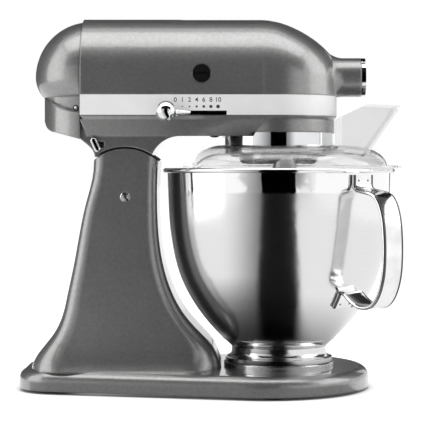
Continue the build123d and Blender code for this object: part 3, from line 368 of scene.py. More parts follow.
class Paintbox:
    """Makes each material once, from the shared effects."""

    def __init__(self) -> None:
        """Build the shared effects and the materials with recipes of their own."""
        self.flake, self.grain = flake_group(), grain_group()
        self.smudge, self.turning = smudge_group(), turning_group()
        self.made: dict[str, Material] = {}
        self.enamel = self._enamel()
        self.bowl_steel = self._bowl_steel()
        self.clear = self._clear()

    @staticmethod
    def _effect(wire: Wire, tree: NodeTree, **inputs: float) -> bpy.types.bpy_prop_collection:
        """Use a shared effect.

        Args:
            wire: Helper around the material's nodes.
            tree: The effect's node group.
            inputs: Values of its inputs, with _ for a space.

        Returns:
            Its outputs.
        """
        values = {label.replace("_", " "): value for label, value in inputs.items()}
        return wire.add("Group", values, node_tree=tree).outputs

    def look(self, look: Look) -> Material:
        """Return the material of a plain finish.

        Args:
            look: Which finish.

        Returns:
            The material, made at the first call.
        """
        name = look.name.lower()
        if name in self.made:
            return self.made[name]
        finish = look.value
        material, wire, shader = new_material(name)
        marks = self._effect(wire, self.smudge, Base=finish.rough, Amount=finish.uneven)
        grain = self._effect(wire, self.grain, Scale=finish.grain_scale)
        dark = tuple(channel * (1.0 - finish.shade) for channel in finish.colour)
        wire.feed(shader, {
            "Base Color": wire.blend(grain["Mask"], finish.colour, dark),
            "Metallic": finish.metal, "Roughness": marks["Roughness"], "Coat Weight": finish.coat,
            "Coat Roughness": finish.coat_rough, "Specular IOR Level": finish.gloss,
        })
        if finish.grain_height:
            bump = wire.add("Bump", {"Strength": finish.grain_height, "Distance": finish.grain_depth,
                                     "Height": grain["Height"]})
            wire.feed(shader, {"Normal": bump.outputs[0]})
        self.made[name] = material
        return material

    def _enamel(self) -> Material:
        """Make the paint of the castings.

        Returns:
            The material.
        """
        recipe = EnamelRecipe()
        material, wire, shader = new_material("enamel")
        flake = self._effect(wire, self.flake, Flakes_per_metre=recipe.flakes_per_metre,
                             Share=recipe.flake_share)
        base = wire.blend(wire.ramp(flake["Cloud"], *recipe.cloud), recipe.dark, recipe.light)
        speck = wire.times(flake["Speck"], recipe.flake_strength)
        marks = self._effect(wire, self.smudge, Base=recipe.rough, Amount=recipe.uneven)
        peel = self._effect(wire, self.grain, Scale=recipe.peel_scale)
        corner = wire.add("Bevel", {"Radius": recipe.corner}, samples=recipe.corner_samples)
        bump = wire.add("Bump", {"Strength": recipe.peel_strength, "Distance": recipe.peel_depth,
                                 "Height": peel["Height"], "Normal": corner.outputs[0]})
        wire.feed(shader, {
            "Base Color": wire.blend(speck, base, recipe.flake), "Metallic": recipe.metal,
            "Roughness": marks["Roughness"], "Coat Weight": recipe.coat,
            "Coat Roughness": recipe.coat_rough, "Coat IOR": recipe.coat_ior, "Normal": bump.outputs[0],
        })
        return material

    def _bowl_steel(self) -> Material:
        """Make the steel of the bowl.

        Returns:
            The material.
        """
        recipe = BowlRecipe()
        material, wire, shader = new_material("bowl_steel")
        lines = self._effect(wire, self.turning, Lines_per_metre=recipe.lines_per_metre, Axis_x=BOWL_X)
        brushed = wire.ramp(wire.split()["Z"], recipe.polish_z + recipe.polish_edge,
                            recipe.polish_z - recipe.polish_edge)
        drawn = wire.times(lines["Line"], brushed)
        marks = self._effect(wire, self.smudge, Base=recipe.rough, Amount=recipe.uneven)
        rough = wire.maths("ADD", marks["Roughness"], wire.times(brushed, recipe.brushed_rough))
        bump = wire.add("Bump", {"Strength": recipe.line_strength, "Distance": recipe.line_depth,
                                 "Height": drawn})
        wire.feed(shader, {
            "Base Color": wire.blend(drawn, recipe.light, recipe.dark), "Metallic": recipe.metal,
            "Roughness": wire.maths("ADD", rough, wire.times(drawn, recipe.line_rough)),
            "Normal": bump.outputs[0],
        })
        return material

    def _clear(self) -> Material:
        """Make the clear plastic of the shield.

        Returns:
            The material.
        """
        recipe = ClearRecipe()
        material, wire, shader = new_material("clear")
        marks = self._effect(wire, self.smudge, Base=recipe.rough, Amount=recipe.uneven)
        wire.feed(shader, {
            "Base Color": wire.blend(marks["Dust"], recipe.clean, recipe.dusty), "IOR": recipe.ior,
            "Roughness": marks["Roughness"], "Transmission Weight": recipe.clearness,
        })
        return material


# ------------------------------------------------------------------ small pieces
def soften(thing: Object, angle: float = 32.0) -> None:
    """Shade a mesh smoothly, but keep its real edges sharp.

    Args:
        thing: The object, whose vertices stay where they are.
        angle: Edges that bend more than this, in degrees, stay sharp.
    """
    mesh = thing.data
    mesh.shade_smooth()
    mesh.set_sharp_from_angle(angle=math.radians(angle))


def placed(name: str, data: bpy.types.ID) -> Object:
    """Add an object to the scene.

    Args:
        name: Its name.
        data: Its mesh, curve, light or camera.

    Returns:
        The new object.
    """
    thing = bpy.data.objects.new(name, data)
    bpy.context.scene.collection.objects.link(thing)
    return thing


def meshed(name: str, build: BMesh, material: Material) -> Object:
    """Turn a finished bmesh into an object.

    Args:
        name: The object's name.
        build: The mesh, in the model's frame.
        material: What it is made of.

    Returns:
        The new object.
    """
    mesh = bpy.data.meshes.new(name)
    build.to_mesh(mesh)
    build.free()
    mesh.materials.append(material)
    return placed(name, mesh)


def piece(name: str, build: BMesh, material: Material,
          body: str) -> Object:
    """Turn a finished bmesh into a piece that rides on a body.

    Args:
        name: The piece's name.
        build: The mesh, in the model's frame.
        material: What it is made of.
        body: The body that it moves with.

    Returns:
        The new object.
    """
    thing = meshed(name, build, material)
    soften(thing)
    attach(thing, body)
    LOG.info("piece %s on %s: %d faces", name, body, len(thing.data.polygons))
    return thing


def frame_at(centre: Vector, normal: Vector) -> Matrix:
    """Return a frame whose Z is a surface normal, for pieces that lie on that surface.

    Args:
        centre: Where the piece sits.
        normal: The outward direction there.

    Returns:
        The 4 by 4 matrix.
    """
    turn = normal.normalized().to_track_quat("Z", "Y").to_matrix().to_4x4()
    return Matrix.Translation(centre) @ turn


def touch(node: str, start: Vector, ahead: Vector) -> tuple[Vector, Vector]:
    """Find where a straight line first meets a solid.

    Args:
        node: The solid's name.
        start: Where the line starts.
        ahead: The way it goes, with a length of one.

    Returns:
        The point on the surface and the outward direction there.
    """
    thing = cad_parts[node]
    inverse = thing.matrix_world.inverted()
    hit, point, normal, _ = thing.ray_cast(inverse @ start, (inverse.to_3x3() @ ahead).normalized())
    if not hit:
        LOG.warning("nothing of %s ahead of %s", node, tuple(start))
        low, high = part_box(node)
        return start + ahead * ((low + high) / 2 - start).dot(ahead), -ahead
    return thing.matrix_world @ point, (thing.matrix_world.to_3x3() @ normal).normalized()


def touch_front(node: str, x: float, z: float) -> tuple[Vector, Vector]:
    """Find where a solid's side that faces the front lies.

    Args:
        node: The solid's name.
        x: Where to look, along the part.
        z: Where to look, in height.

    Returns:
        The point on the surface and the outward direction there.
    """
    return touch(node, Vector((x, -OUTSIDE, z)), Vector((0.0, 1.0, 0.0)))


def loft(build: BMesh, loops: list[list[BMVert]], ring: bool = False) -> None:
    """Join each loop of points to the next with faces.

    Args:
        build: The mesh that the points are in.
        loops: The loops, each with the same number of points.
        ring: Whether the last loop is joined to the first.
    """
    for here, ahead in zip(loops, loops[1:] + loops[:1] if ring else loops[1:]):
        for index in range(len(here)):
            after = (index + 1) % len(here)
            build.faces.new((here[index], here[after], ahead[after], ahead[index]))


def close_ends(build: BMesh, loops: list[list[BMVert]]) -> None:
    """Close a lofted bar at both ends and turn its faces outwards.

    Args:
        build: The mesh that the points are in.
        loops: The bar's loops.
    """
    build.faces.new(loops[0])
    build.faces.new(loops[-1])
    bmesh.ops.recalc_face_normals(build, faces=build.faces)


def smooth_line(points: list[Vector], shares: tuple[float, ...]) -> list[Vector]:
    """Draw a smooth line through points, as a Catmull-Rom spline.

    Args:
        points: What the line passes through.
        shares: Where the new points lie between two given ones, from 0 to 1.

    Returns:
        The points along the line.
    """
    padded = [2 * points[0] - points[1], *points, 2 * points[-1] - points[-2]]
    line = []
    for before, start, end, after in zip(padded, padded[1:], padded[2:], padded[3:]):
        for share in shares:
            line.append(0.5 * (2 * start + (end - before) * share
                               + (2 * before - 5 * start + 4 * end - after) * share ** 2
                               + (3 * start - before - 3 * end + after) * share ** 3))
    return [*line, points[-1]]


@dataclass(frozen=True)
class Disc:
    """Size of a thin round piece, flat or slightly domed, that lies on a surface."""

    radius: float
    thick: float
    dome: float = 0.0
    sink: float = 0.1 * MM
    sides: int = 40
    rings: int = 5


@dataclass
class Dressing:
    """A sub-assembly: the paints that it uses and the body that it moves with."""

    paint: Paintbox
    body: str

    def dress(self, finish: Look | Material, *nodes: str) -> None:
        """Give solids their material and shading.

        Args:
            finish: What they are made of.
            nodes: Names of the solids.
        """
        material = self.paint.look(finish) if isinstance(finish, Look) else finish
        for name in nodes:
            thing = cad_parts.get(name)
            if thing is None:
                LOG.warning("no solid named %s", name)
                continue
            thing.data.materials.clear()
            thing.data.materials.append(material)
            soften(thing)
            LOG.info("dressed %s with %s", name, material.name)

    def disc(self, name: str, centre: Vector, normal: Vector, size: Disc, look: Look, slot: str) -> None:
        """Add a thin round piece that lies on a surface.

        Args:
            name: The piece's name.
            centre: Where it lies.
            normal: The surface's outward direction.
            size: How large it is.
            look: Its finish.
            slot: The record's material slot; not used.
        """
        build = bmesh.new()
        turns = [2 * math.pi * side / size.sides for side in range(size.sides)]
        loops = []
        for ring in range(size.rings):
            left = 1.0 - ring / size.rings
            reach, height = size.radius * left, size.thick + size.dome * (1.0 - left ** 2)
            loops.append([build.verts.new((reach * math.cos(turn), reach * math.sin(turn), height))
                          for turn in turns])
        skirt = [build.verts.new((vert.co.x, vert.co.y, -size.sink)) for vert in loops[0]]
        tip = build.verts.new((0.0, 0.0, size.thick + size.dome))
        loft(build, [skirt, *loops])
        for vert, after in zip(loops[-1], loops[-1][1:] + loops[-1][:1]):
            build.faces.new((vert, after, tip))
        build.faces.new(list(reversed(skirt)))
        bmesh.ops.transform(build, matrix=frame_at(centre, normal), verts=build.verts)
        piece(name, build, self.paint.look(look), self.body)


@dataclass
class Stand(Dressing):
    """Base, column, hinge and the bowl's clamp plate."""

    body: str = "root"
    pin_rim: float = 1.0 * MM
    pin_lift: float = 0.1 * MM
    pin_dome: float = 0.8 * MM
    saddle_radius: float = 45.6 * MM
    saddle_probe: float = 6.0 * MM
    shade_strip_sink: float = 0.4 * MM
    # Size of the black strip that paints the shade in the seam's gap.
    shade_strip_thick: float = 1.3 * MM
    shade_strip_side: float = 7.0 * MM
    shade_strip_turns: tuple[float, float] = (-31.0, 40.0)
    shade_strip_steps: int = 28

    def build(self) -> None:
        """Dress the stand's solids, then cap its pin and put painted shade into its saddle's seam."""
        self.dress(self.paint.enamel, "pedestal")
        self.dress(Look.RUBBER, "rubber_feet")
        self.dress(Look.CHROME, "hinge_pin", "clamp_screws")
        self.dress(Look.MACHINED, "clamp_plate")
        low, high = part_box("hinge_pin")
        axis = (low + high) / 2
        self._pin_cap(Vector((axis.x, low.y, axis.z)), (high.z - low.z) / 2)
        self._painted_shade_strip(axis)

    def _pin_cap(self, centre: Vector, radius: float) -> None:
        """Add the domed end of the hinge pin, on the side where it shows.

        Args:
            centre: Middle of the pin's flat end.
            radius: The pin's radius.
        """
        size = Disc(radius - self.pin_rim, self.pin_lift, self.pin_dome)
        self.disc("hinge_pin_end", centre, FRONT, size, Look.MACHINED, "steel")

    def _painted_shade_strip(self, axis: Vector) -> None:
        """Add a dark strip along the saddle, under the head's rolling seam: painted shade that makes the
        seam's gap read black.

        Args:
            axis: A point on the hinge's axis.
        """
        seat, _ = touch_front("pedestal", axis.x, axis.z + self.saddle_radius - self.saddle_probe)
        half = abs(seat.y) - self.shade_strip_side
        inner, outer = self.saddle_radius - self.shade_strip_sink, self.saddle_radius + self.shade_strip_thick
        start, end = self.shade_strip_turns
        build, loops = bmesh.new(), []
        for step in range(self.shade_strip_steps + 1):
            turn = math.radians(start + (end - start) * step / self.shade_strip_steps)
            loops.append([
                build.verts.new((axis.x + reach * math.sin(turn), y, axis.z + reach * math.cos(turn)))
                for reach, y in ((inner, -half), (inner, half), (outer, half), (outer, -half))
            ])
        loft(build, loops)
        close_ends(build, loops)
        # Painted shade: a black strip in the gap, where the real seam is dark only from shade.
        piece("saddle_painted_shade_strip", build, self.paint.look(Look.RUBBER), self.body)


@dataclass
class Bowl(Dressing):
    """Bowl, its foot and its handle."""

    body: str = "bowl"
    foot_weld_z: float = 47.5 * MM
    bead: float = 0.35 * MM
    bead_turns: int = 96
    bead_sides: int = 8
    weld_size: Disc = Disc(1.0 * MM, 0.05 * MM)
    weld_off: float = 6.2 * MM
    strap_turn: float = math.radians(-47.0)
    strap_half: float = 13.5 * MM
    web_half: float = 1.15 * MM
    web_inset: float = 2.4 * MM
    shoulder_half: float = 1.5 * MM
    shoulder_inset: float = 1.4 * MM
    roll: float = 1.8 * MM
    roll_steps: int = 12
    # Facets of the strap's section that get the dark steel, as painted reflections.
    painted_reflection_facets: tuple[int, ...] = (2, 3, 11, 12, 13, 14, 18, 19, 20, 21, 29, 30)
    strap_shares: tuple[float, ...] = (0.0, 0.25, 0.5, 0.75)
    strap_path: tuple[tuple[float, float], ...] = (
        (109.2, 205.0), (109.2, 199.8), (109.3, 194.8), (112.2, 191.2), (120.0, 189.5), (128.5, 187.9),
        (135.2, 184.6), (140.2, 177.0), (143.9, 165.0), (145.5, 151.0), (146.0, 138.0), (145.6, 125.0),
        (144.4, 114.0), (141.3, 102.5), (136.9, 93.5), (131.3, 87.3), (125.0, 84.6), (118.5, 84.2),
        (112.6, 85.4), (106.4, 88.6), (101.2, 92.1), (96.9, 95.4),
    )
    plate_heights: tuple[float, ...] = (96.2, 93.0, 89.0, 85.5, 82.0)
    plate_gap: float = 1.3 * MM

    def build(self) -> None:
        """Dress the bowl, then add the weld of its foot and the strap of its handle."""
        self.dress(self.paint.bowl_steel, "bowl", "bowl_foot")
        self.dress(Look.HANDLE_STEEL, "handle")
        self._foot_weld()
        self._strap()

    def _foot_weld(self) -> None:
        """Add the fine bright bead where the foot is welded to the bowl."""
        point, _ = touch_front("bowl", BOWL_X, self.foot_weld_z)
        swings = [2 * math.pi * side / self.bead_sides for side in range(self.bead_sides)]
        build, loops = bmesh.new(), []
        for turn in range(self.bead_turns):
            about = 2 * math.pi * turn / self.bead_turns
            out = Vector((math.cos(about), math.sin(about), 0.0))
            loops.append([
                build.verts.new(Vector((BOWL_X, 0.0, self.foot_weld_z))
                                + out * (abs(point.y) + self.bead * math.cos(swing))
                                + UP * (self.bead * math.sin(swing)))
                for swing in swings
            ])
        loft(build, loops, ring=True)
        bmesh.ops.recalc_face_normals(build, faces=build.faces)
        piece("foot_weld_bead", build, self.paint.look(Look.MACHINED), self.body)

    def _out(self) -> Vector:
        """Return the way from the bowl's axis to its handle."""
        return Vector((math.cos(self.strap_turn), math.sin(self.strap_turn), 0.0))

    def _wall(self, height: float) -> float:
        """Find how far the bowl's outside lies from its axis, under the handle.

        Args:
            height: Where to look.

        Returns:
            The distance.
        """
        out = self._out()
        point, _ = touch("bowl", Vector((BOWL_X, 0.0, height)) + out * OUTSIDE, -out)
        return math.hypot(point.x - BOWL_X, point.y)

    def _profile(self) -> list[tuple[float, float]]:
        """Draw the strap's section: a thin web between rolled edges.

        Returns:
            Its corners, as places across the strap and through it.
        """
        centre = self.strap_half - self.roll
        turns = [math.pi * (step / self.roll_steps - 0.5) for step in range(self.roll_steps + 1)]
        edge = [(centre + self.roll * math.cos(turn), self.roll * math.sin(turn)) for turn in turns]
        shoulder = [(centre - self.shoulder_inset, self.shoulder_half),
                    (centre - self.web_inset, self.web_half)]
        right = [(across, -through) for across, through in reversed(shoulder)] + edge + shoulder
        return right + [(-across, -through) for across, through in right]

    def _strap(self) -> None:
        """Add the handle as bent from sheet with rolled edges, in place of the plain strap; facets along its
        rolled edges get a dark steel as painted reflections.
        """
        path = [Vector((reach * MM, height * MM)) for reach, height in self.strap_path]
        path += [Vector((self._wall(height * MM) + self.plate_gap, height * MM))
                 for height in self.plate_heights]
        line = smooth_line(path, self.strap_shares)
        out, axis = self._out(), Vector((BOWL_X, 0.0, 0.0))
        side = Vector((out.y, -out.x, 0.0))
        build, loops = bmesh.new(), []
        for index, point in enumerate(line):
            along = (line[min(index + 1, len(line) - 1)] - line[max(index - 1, 0)]).normalized()
            away = Vector((-along.y, along.x))
            loops.append([
                build.verts.new(axis + out * (point.x + through * away.x) + side * across
                                + UP * (point.y + through * away.y))
                for across, through in self._profile()
            ])
        loft(build, loops)
        close_ends(build, loops)
        strap = piece("strap_handle", build, self.paint.look(Look.HANDLE_STEEL), self.body)
        # Painted reflections: the listed facets get a second, dark steel in place of mirrored dark
        # surroundings.
        strap.data.materials.append(self.paint.look(Look.PAINTED_REFLECTION_STEEL))
        around = len(loops[0])
        for index, facet in enumerate(strap.data.polygons[:around * (len(loops) - 1)]):
            facet.material_index = int(index % around in self.painted_reflection_facets)
        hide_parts("handle")
        slope = (path[-3] - path[-1]).normalized()
        self._welds("upper", path[1], Vector((1.0, 0.0)))
        self._welds("lower", path[-2], Vector((slope.y, -slope.x)))

    def _welds(self, plate: str, spot: Vector, away: Vector) -> None:
        """Add the two spot welds of one of the strap's plates.

        Args:
            plate: The plate's name.
            spot: Its middle, as reach and height.
            away: The way out of it, as reach and height.
        """
        out = self._out()
        side = Vector((out.y, -out.x, 0.0))
        facing = out * away.x + UP * away.y
        middle = Vector((BOWL_X, 0.0, 0.0)) + out * spot.x + UP * spot.y + facing * self.web_half
        for place, shift in (("left", self.weld_off), ("right", -self.weld_off)):
            self.disc(f"spot_weld_{plate}_{place}", middle + side * shift, facing, self.weld_size,
                      Look.INK, "steel")


@dataclass
class Shield(Dressing):
    """Clear pouring shield and chute."""

    body: str = "shield"

    def build(self) -> None:
        """Dress the shield."""
        self.dress(self.paint.clear, "shield", "chute")


@dataclass
class Head(Dressing):
    """Painted castings of the head, its band and what they carry."""

    body: str = "head"
    speeds: tuple[str, ...] = ("0", "1", "2", "4", "6", "8", "10")
    first_speed_x: float = -33.3 * MM
    speed_step: float = 6.65 * MM
    number_z: float = 275.0 * MM
    number_height: float = 4.4 * MM
    font_ratio: float = 1.38
    ink_thick: float = 0.03 * MM
    ink_spread: float = 0.06 * MM
    ink_lift: float = 0.02 * MM
    dot_z: float = 268.8 * MM
    dot_radius: float = 0.35 * MM
    dot_growth: float = 0.22 * MM
    dot_thick: float = 0.06 * MM
    cover_screw: tuple[float, float] = (-127.5 * MM, 268.0 * MM)
    # A flat black disc whose ink paints the shade of the screw's recess.
    recess_shade_size: Disc = Disc(3.0 * MM, 0.02 * MM)
    cover_screw_size: Disc = Disc(1.7 * MM, 0.12 * MM, 0.3 * MM)
    under_screw: tuple[float, float] = (3.0 * MM, -24.0 * MM)
    under_screw_size: Disc = Disc(4.2 * MM, 0.25 * MM, 0.8 * MM)

    def build(self) -> None:
        """Dress the head's solids, print the speed scale and add the screws."""
        self.dress(self.paint.enamel, "upper_housing", "lower_housing", "rear_cover")
        self.dress(Look.SILVER, "trim_band")
        self.dress(Look.BLACK_PLASTIC, "brush_caps", "brush_holders")
        self.dress(Look.CHROME, "drip_ring", "hub_ears", "cover_pin")
        self.dress(Look.CASTING, "stator")
        self.dress(Look.MACHINED, "bearings", "ring_gear")
        self.dress(Look.COPPER, "field_windings", "brush_springs")
        self.dress(Look.CARBON, "carbon_brushes")
        self._scale()
        self._screws()

    def _scale(self) -> None:
        """Print the numbers and growing dots of the speed scale on the band's flat side."""
        face_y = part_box("trim_band")[0].y
        for index, label in enumerate(self.speeds):
            x = self.first_speed_x + index * self.speed_step
            self._number(label, Vector((x, face_y - self.ink_lift, self.number_z)))
            if index:
                size = Disc(self.dot_radius + self.dot_growth * index, self.dot_thick)
                self.disc(f"speed_dot_{label}", Vector((x, face_y, self.dot_z)), FRONT, size, Look.INK,
                          "black_plastic")

    def _number(self, label: str, middle: Vector) -> None:
        """Print one number of the speed scale.

        Args:
            label: The number.
            middle: Where it is.
        """
        curve = bpy.data.curves.new(f"speed_{label}", "FONT")
        curve.body = label
        curve.size = self.number_height * self.font_ratio
        curve.align_x, curve.align_y = "CENTER", "CENTER"
        curve.extrude = self.ink_thick
        curve.offset = self.ink_spread
        curve.materials.append(self.paint.look(Look.INK))
        thing = placed(f"speed_{label}", curve)
        thing.rotation_euler = (math.pi / 2, 0.0, 0.0)
        thing.location = middle
        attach(thing, self.body)
        LOG.info("piece %s on %s", thing.name, self.body)

    def _screws(self) -> None:
        """Add the rear cover's chrome screw on a flat black disc that paints the shade of its recess, and
        the dark one under the head.
        """
        point, normal = touch_front("rear_cover", *self.cover_screw)
        # Painted shade: a flat black disc in place of the recess round the screw.
        self.disc("cover_screw_recess_shade", point, normal, self.recess_shade_size, Look.INK, "black_plastic")
        self.disc("cover_screw", point, normal, self.cover_screw_size, Look.CHROME, "steel")
        point, normal = touch("lower_housing", Vector((*self.under_screw, 0.0)), UP)
        self.disc("under_screw", point, normal, self.under_screw_size, Look.BLACK_PLASTIC, "black_plastic")


@dataclass
class Drive(Dressing):
    """Turning parts inside the head and under it."""

    body: str = "rotor"

    def build(self) -> None:
        """Dress the drive train."""
        self.dress(Look.MACHINED, "motor_shaft", "worm", "pinion_shaft", "centre_shaft",
                   "centre_gear", "bevel_gear", "planet_pinion", "cross_pin", "agitator_shaft",
                   "bevel_pinion", "attachment_drive", "planetary")
        self.dress(Look.CASTING, "armature")
        self.dress(Look.COPPER, "commutator")
        self.dress(Look.BLACK_PLASTIC, "cooling_fan")
        self.dress(Look.BRONZE, "worm_wheel")


@dataclass
class Controls(Dressing):
    """Speed lever, head lock, hub cover and attachment knob."""

    body: str = "speed_lever"

    def build(self) -> None:
        """Dress the controls."""
        self.dress(Look.CHROME, "speed_lever", "lock_lever", "hub_cover")
        self.dress(Look.BLACK_PLASTIC, "attachment_knob", "governor_link")


# ------------------------------------------------------------------ stage
@dataclass(frozen=True)
class Sheet:
    """A flat rectangle of the stage: where it is, the way it faces and how large it is."""

    name: str
    centre: Triple
    facing: Triple
    width: float
    height: float


@dataclass
class Stage:
    """Floor, cards, lamps and camera of the product shot."""

    distance: float = 1.5
    camera_x: float = 0.0179
    camera_z: float = 0.211
    lens: float = 131.6
    sensor: float = 36.0
    shift: tuple[float, float] = (-0.044, -0.102)
    ambient: float = 0.60
    glow: float = 1.90
    wall_glows: tuple[float, float] = (0.60, 0.75)
    matt: float = 0.8
    black_grey: float = 0.01
    dim_glow: float = 0.08
    low_glow: float = 0.3
    stripe_right: float = 0.62
    stripe_left: float = 0.80
    stripe_soft: float = 0.02
    stripe_level: float = 0.30
    middle_soft: float = 0.01
    hub_soft: float = 0.05
    card_right_end: float = 1.7
    card_left_end: float = 4.2
    card_front_y: float = 2.4
    card_front_height: float = 1.5
    side_turns: tuple[float, float] = (5.0, 60.0)
    side_shade: float = 0.10
    card_lift: float = 24.0 * MM
    low_lift: float = 2.0 * MM
    floor_skew: float = 0.04
    floor_dark: float = 0.02
    floor_white: float = 0.19
    floor_level: float = 0.04
    lean_rate: float = 25.0
    floor_size: float = 30.0
    floor_grey: float = 0.55
    floor_glow: float = 0.80
    contact: float = 30.0 * MM
    contact_open: float = 0.15
    contact_samples: int = 8
    staged: list[Object] = field(default_factory=list)

    def build(self) -> None:
        """Set the whole stage."""
        self._floor()
        self._world()
        self._cards()
        self._lamps()
        self._camera()
        settings = bpy.context.scene.view_settings
        settings.view_transform = "Standard"
        settings.look = "None"

    def _plane(self, sheet: Sheet, material: Material) -> Object:
        """Add a flat sheet to the stage.

        Args:
            sheet: Its name, place and size.
            material: What it is made of.

        Returns:
            The new object.
        """
        build = bmesh.new()
        right, top = sheet.width / 2, sheet.height / 2
        corners = ((-right, -top), (right, -top), (right, top), (-right, top))
        build.faces.new([build.verts.new((x, y, 0.0)) for x, y in corners])
        turned = frame_at(Vector(sheet.centre), Vector(sheet.facing))
        bmesh.ops.transform(build, matrix=turned, verts=build.verts)
        thing = meshed(sheet.name, build, material)
        self.staged.append(thing)
        return thing

    def _glowing(self, name: str, grey: float = 0.0) -> tuple[Material, Wire, Node]:
        """Start a matt material whose glow is set afterwards.

        Args:
            name: Its name.
            grey: Its grey.

        Returns:
            The material, a helper around its nodes, and its shader.
        """
        material, wire, shader = new_material(name)
        wire.feed(shader, {"Base Color": (grey, grey, grey), "Roughness": self.matt,
                           "Specular IOR Level": 0.0, "Emission Strength": 1.0})
        return material, wire, shader

    def _plain(self, name: str, grey: float = 0.0, glow: float = 0.0) -> Material:
        """Make a matt material with an even white glow.

        Args:
            name: Its name.
            grey: Its grey.
            glow: How brightly it glows.

        Returns:
            The material.
        """
        material, wire, shader = self._glowing(name, grey)
        wire.feed(shader, {"Emission Color": WHITE, "Emission Strength": glow})
        return material

    @staticmethod
    def _shine(wire: Wire, shader: Node, level: NodeSocket) -> None:
        """Make a material glow in grey.

        Args:
            wire: Helper around the material's nodes.
            shader: Its shader.
            level: The grey's level.
        """
        grey = wire.add("CombineColor", {0: level, 1: level, 2: level})
        wire.feed(shader, {"Emission Color": grey.outputs[0]})

    def _floor(self) -> None:
        """Add a pale floor that runs into the white backdrop, with a painted contact shadow: its glow
        darkens where the base stands.
        """
        material, wire, shader = self._glowing("floor_paint", self.floor_grey)
        # Painted contact shadow: the floor's glow falls off where ambient occlusion finds the base close
        # above.
        covered = wire.add("AmbientOcclusion", {"Distance": self.contact}, samples=self.contact_samples)
        glow = wire.ramp(covered.outputs["AO"], self.contact_open, 1.0, 0.0, self.floor_glow)
        self._shine(wire, shader, glow)
        self._plane(Sheet("floor", (0, 0, 0), (0, 0, 1), self.floor_size, self.floor_size), material)

    def _world(self) -> None:
        """Surround what is seen, mirrored or seen through with white, and the rest with softer light."""
        world = bpy.data.worlds.new("studio")
        bpy.context.scene.world = world
        world.use_nodes = True
        wire = Wire(world.node_tree)
        path = wire.add("LightPath").outputs
        bent = wire.maths("MAXIMUM", path["Is Glossy Ray"], path["Is Transmission Ray"])
        seen = wire.maths("MAXIMUM", path["Is Camera Ray"], bent)
        wire.feed(world.node_tree.nodes["Background"],
                  {"Color": WHITE, "Strength": wire.ramp(seen, 0.0, 1.0, self.ambient, 1.0)})

    def _shaded(self, wire: Wire, aside: NodeSocket, ahead: NodeSocket | float) -> NodeSocket:
        """Grow white from straight ahead to the side of the column.

        Args:
            wire: Helper around the material's nodes.
            aside: How far a point lies towards the hub, from the bowl's axis.
            ahead: How far it lies in front of that axis.

        Returns:
            The level, which is full on the hub's side.
        """
        turn = wire.maths("ARCTAN2", wire.times(aside, -1.0), ahead)
        start, end = (math.radians(angle) for angle in self.side_turns)
        left = wire.ramp(turn, start, end, self.side_shade, 1.0)
        return wire.maths("MAXIMUM", left, wire.ramp(aside, 0.0, self.hub_soft))

    def _beside_stripe(self, wire: Wire, aside: NodeSocket, share: NodeSocket | float) -> NodeSocket:
        """Black out the strip that polished steel mirrors as its dark stripe.

        Args:
            wire: Helper around the material's nodes.
            aside: How far a point lies towards the hub, from the bowl's axis.
            share: Its distance in front of the axis, as a share of the front card's.

        Returns:
            Nothing inside the strip, and one outside.
        """
        sides = []
        for way, edge in ((aside, self.stripe_right), (wire.times(aside, -1.0), self.stripe_left)):
            past = wire.maths("SUBTRACT", way, wire.times(share, edge))
            sides.append(wire.ramp(past, 0.0, self.stripe_soft))
        return wire.maths("MAXIMUM", *sides)

    def _fading(self) -> Material:
        """Make a black card that turns white beside the dark stripe: soon right, slowly left.

        Returns:
            The material.
        """
        material, wire, shader = self._glowing("card_fading")
        aside = wire.maths("SUBTRACT", wire.split()["X"], BOWL_X)
        rise = wire.ramp(aside, self.stripe_right, self.card_right_end, self.stripe_level, 1.0)
        right = wire.maths("MAXIMUM", rise, wire.ramp(aside, -self.middle_soft, 0.0, 1.0, 0.0))
        level = wire.times(self._shaded(wire, aside, self.card_front_y), right)
        self._shine(wire, shader, wire.times(level, self._beside_stripe(wire, aside, 1.0)))
        return material

    def _near_floor(self) -> Material:
        """Make the floor as the bowl's belly mirrors it: dark close by, sooner white towards the hub.

        Returns:
            The material, which is clear from below.
        """
        material, wire, shader = self._glowing("card_near_floor")
        where = wire.split()
        ahead = wire.times(where["Y"], -1.0)
        aside = wire.maths("SUBTRACT", where["X"], BOWL_X)
        reach = wire.maths("SQRT", wire.maths("ADD", wire.times(ahead, ahead), wire.times(aside, aside)))
        lean = wire.maths("TANH", wire.times(aside, self.lean_rate))
        skewed = wire.maths("ADD", reach, wire.times(lean, self.floor_skew))
        far = wire.ramp(skewed, self.floor_dark, self.floor_white, self.floor_level, 1.0)
        stripe = self._beside_stripe(wire, aside, wire.maths("DIVIDE", ahead, self.card_front_y))
        self._shine(wire, shader, wire.times(wire.times(far, self._shaded(wire, aside, ahead)), stripe))
        from_above = wire.add("MixShader", {0: wire.add("NewGeometry").outputs["Backfacing"],
                                            1: shader.outputs[0], 2: wire.add("BsdfTransparent").outputs[0]})
        wire.feed(material.node_tree.nodes["Material Output"], {"Surface": from_above.outputs[0]})
        return material

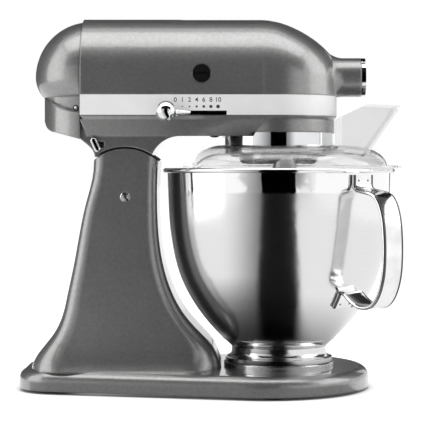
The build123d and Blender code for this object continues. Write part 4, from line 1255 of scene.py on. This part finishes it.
    def _cards(self) -> None:
        """Add the cards that the polished steel and the lacquer mirror, unseen by the camera."""
        black = self._plain("card_black", grey=self.black_grey)
        dim = self._plain("card_dim", glow=self.dim_glow)
        low = self._plain("card_low", glow=self.low_glow)
        width = self.card_left_end + self.card_right_end
        middle = BOWL_X + (self.card_right_end - self.card_left_end) / 2
        centre = (middle, -self.card_front_y, self.card_front_height / 2)
        cards = (
            (Sheet("card_front", centre, (0, 1, 0), width, self.card_front_height), self._fading()),
            (Sheet("card_near_floor", (0, 0, self.card_lift), (0, 0, 1), 2.6, 4.8), self._near_floor()),
            (Sheet("card_base_floor", (0, -0.50, self.low_lift), (0, 0, 1), 1.8, 0.9), low),
            (Sheet("card_front_high", (0, -2.0, 2.0), (0, 1, -0.9), 6.0, 1.9), black),
            (Sheet("card_ceiling_back", (0, 2.0, 1.7), (0, 0, -1), 6.0, 3.0), black),
            (Sheet("card_back_left", (-0.95, 2.2, 0.8), (0, -1, 0), 1.7, 1.8), dim),
            (Sheet("card_back_right", (0.60, 2.2, 0.8), (0, -1, 0), 0.7, 1.8), dim),
            (Sheet("card_left", (-1.6, 1.2, 0.6), (1, 0, 0), 2.0, 2.0), dim),
            (Sheet("card_right", (1.6, 1.4, 1.15), (-1, 0, 0), 1.8, 1.3), dim),
        )
        for sheet, material in cards:
            card = self._plane(sheet, material)
            for ray in ("camera", "shadow", "transmission", "diffuse"):
                setattr(card, f"visible_{ray}", False)

    def _lamps(self) -> None:
        """Add a tunnel of light over the part: a ceiling and two walls."""
        left, right = self.wall_glows
        lamps = (
            (Sheet("softbox_top", (0.0, -0.31, 1.5), (0, 0, -1), 2.2, 0.85), 1.0),
            (Sheet("softbox_left", (-1.3, -0.35, 0.75), (1, 0, 0), 1.0, 1.5), left),
            (Sheet("softbox_right", (1.3, -0.15, 0.97), (-1, 0, 0), 1.0, 1.3), right),
        )
        for sheet, share in lamps:
            data = bpy.data.lights.new(sheet.name, "AREA")
            data.shape = "RECTANGLE"
            data.size, data.size_y = sheet.width, sheet.height
            data.energy = share * self.glow * math.pi * sheet.width * sheet.height
            thing = placed(sheet.name, data)
            thing.location = sheet.centre
            thing.rotation_euler = Vector(sheet.facing).to_track_quat("-Z", "Y").to_euler()
            self.staged.append(thing)

    def _camera(self) -> None:
        """Add the camera, level and in front of the part."""
        data = bpy.data.cameras.new("camera")
        data.lens = self.lens
        data.sensor_width = self.sensor
        data.shift_x, data.shift_y = self.shift
        thing = placed("camera", data)
        thing.location = (self.camera_x, -self.distance, self.camera_z)
        thing.rotation_euler = (math.pi / 2, 0.0, 0.0)
        bpy.context.scene.camera = thing


def main() -> None:
    """Dress the mixer, then set the stage."""
    logging.basicConfig(level=logging.INFO, format="%(name)s: %(message)s")
    paint = Paintbox()
    for part in (Stand(paint), Bowl(paint), Shield(paint), Head(paint), Drive(paint), Controls(paint)):
        part.build()
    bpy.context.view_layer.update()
    Stage().build()


if __name__ == "__main__":
    main()
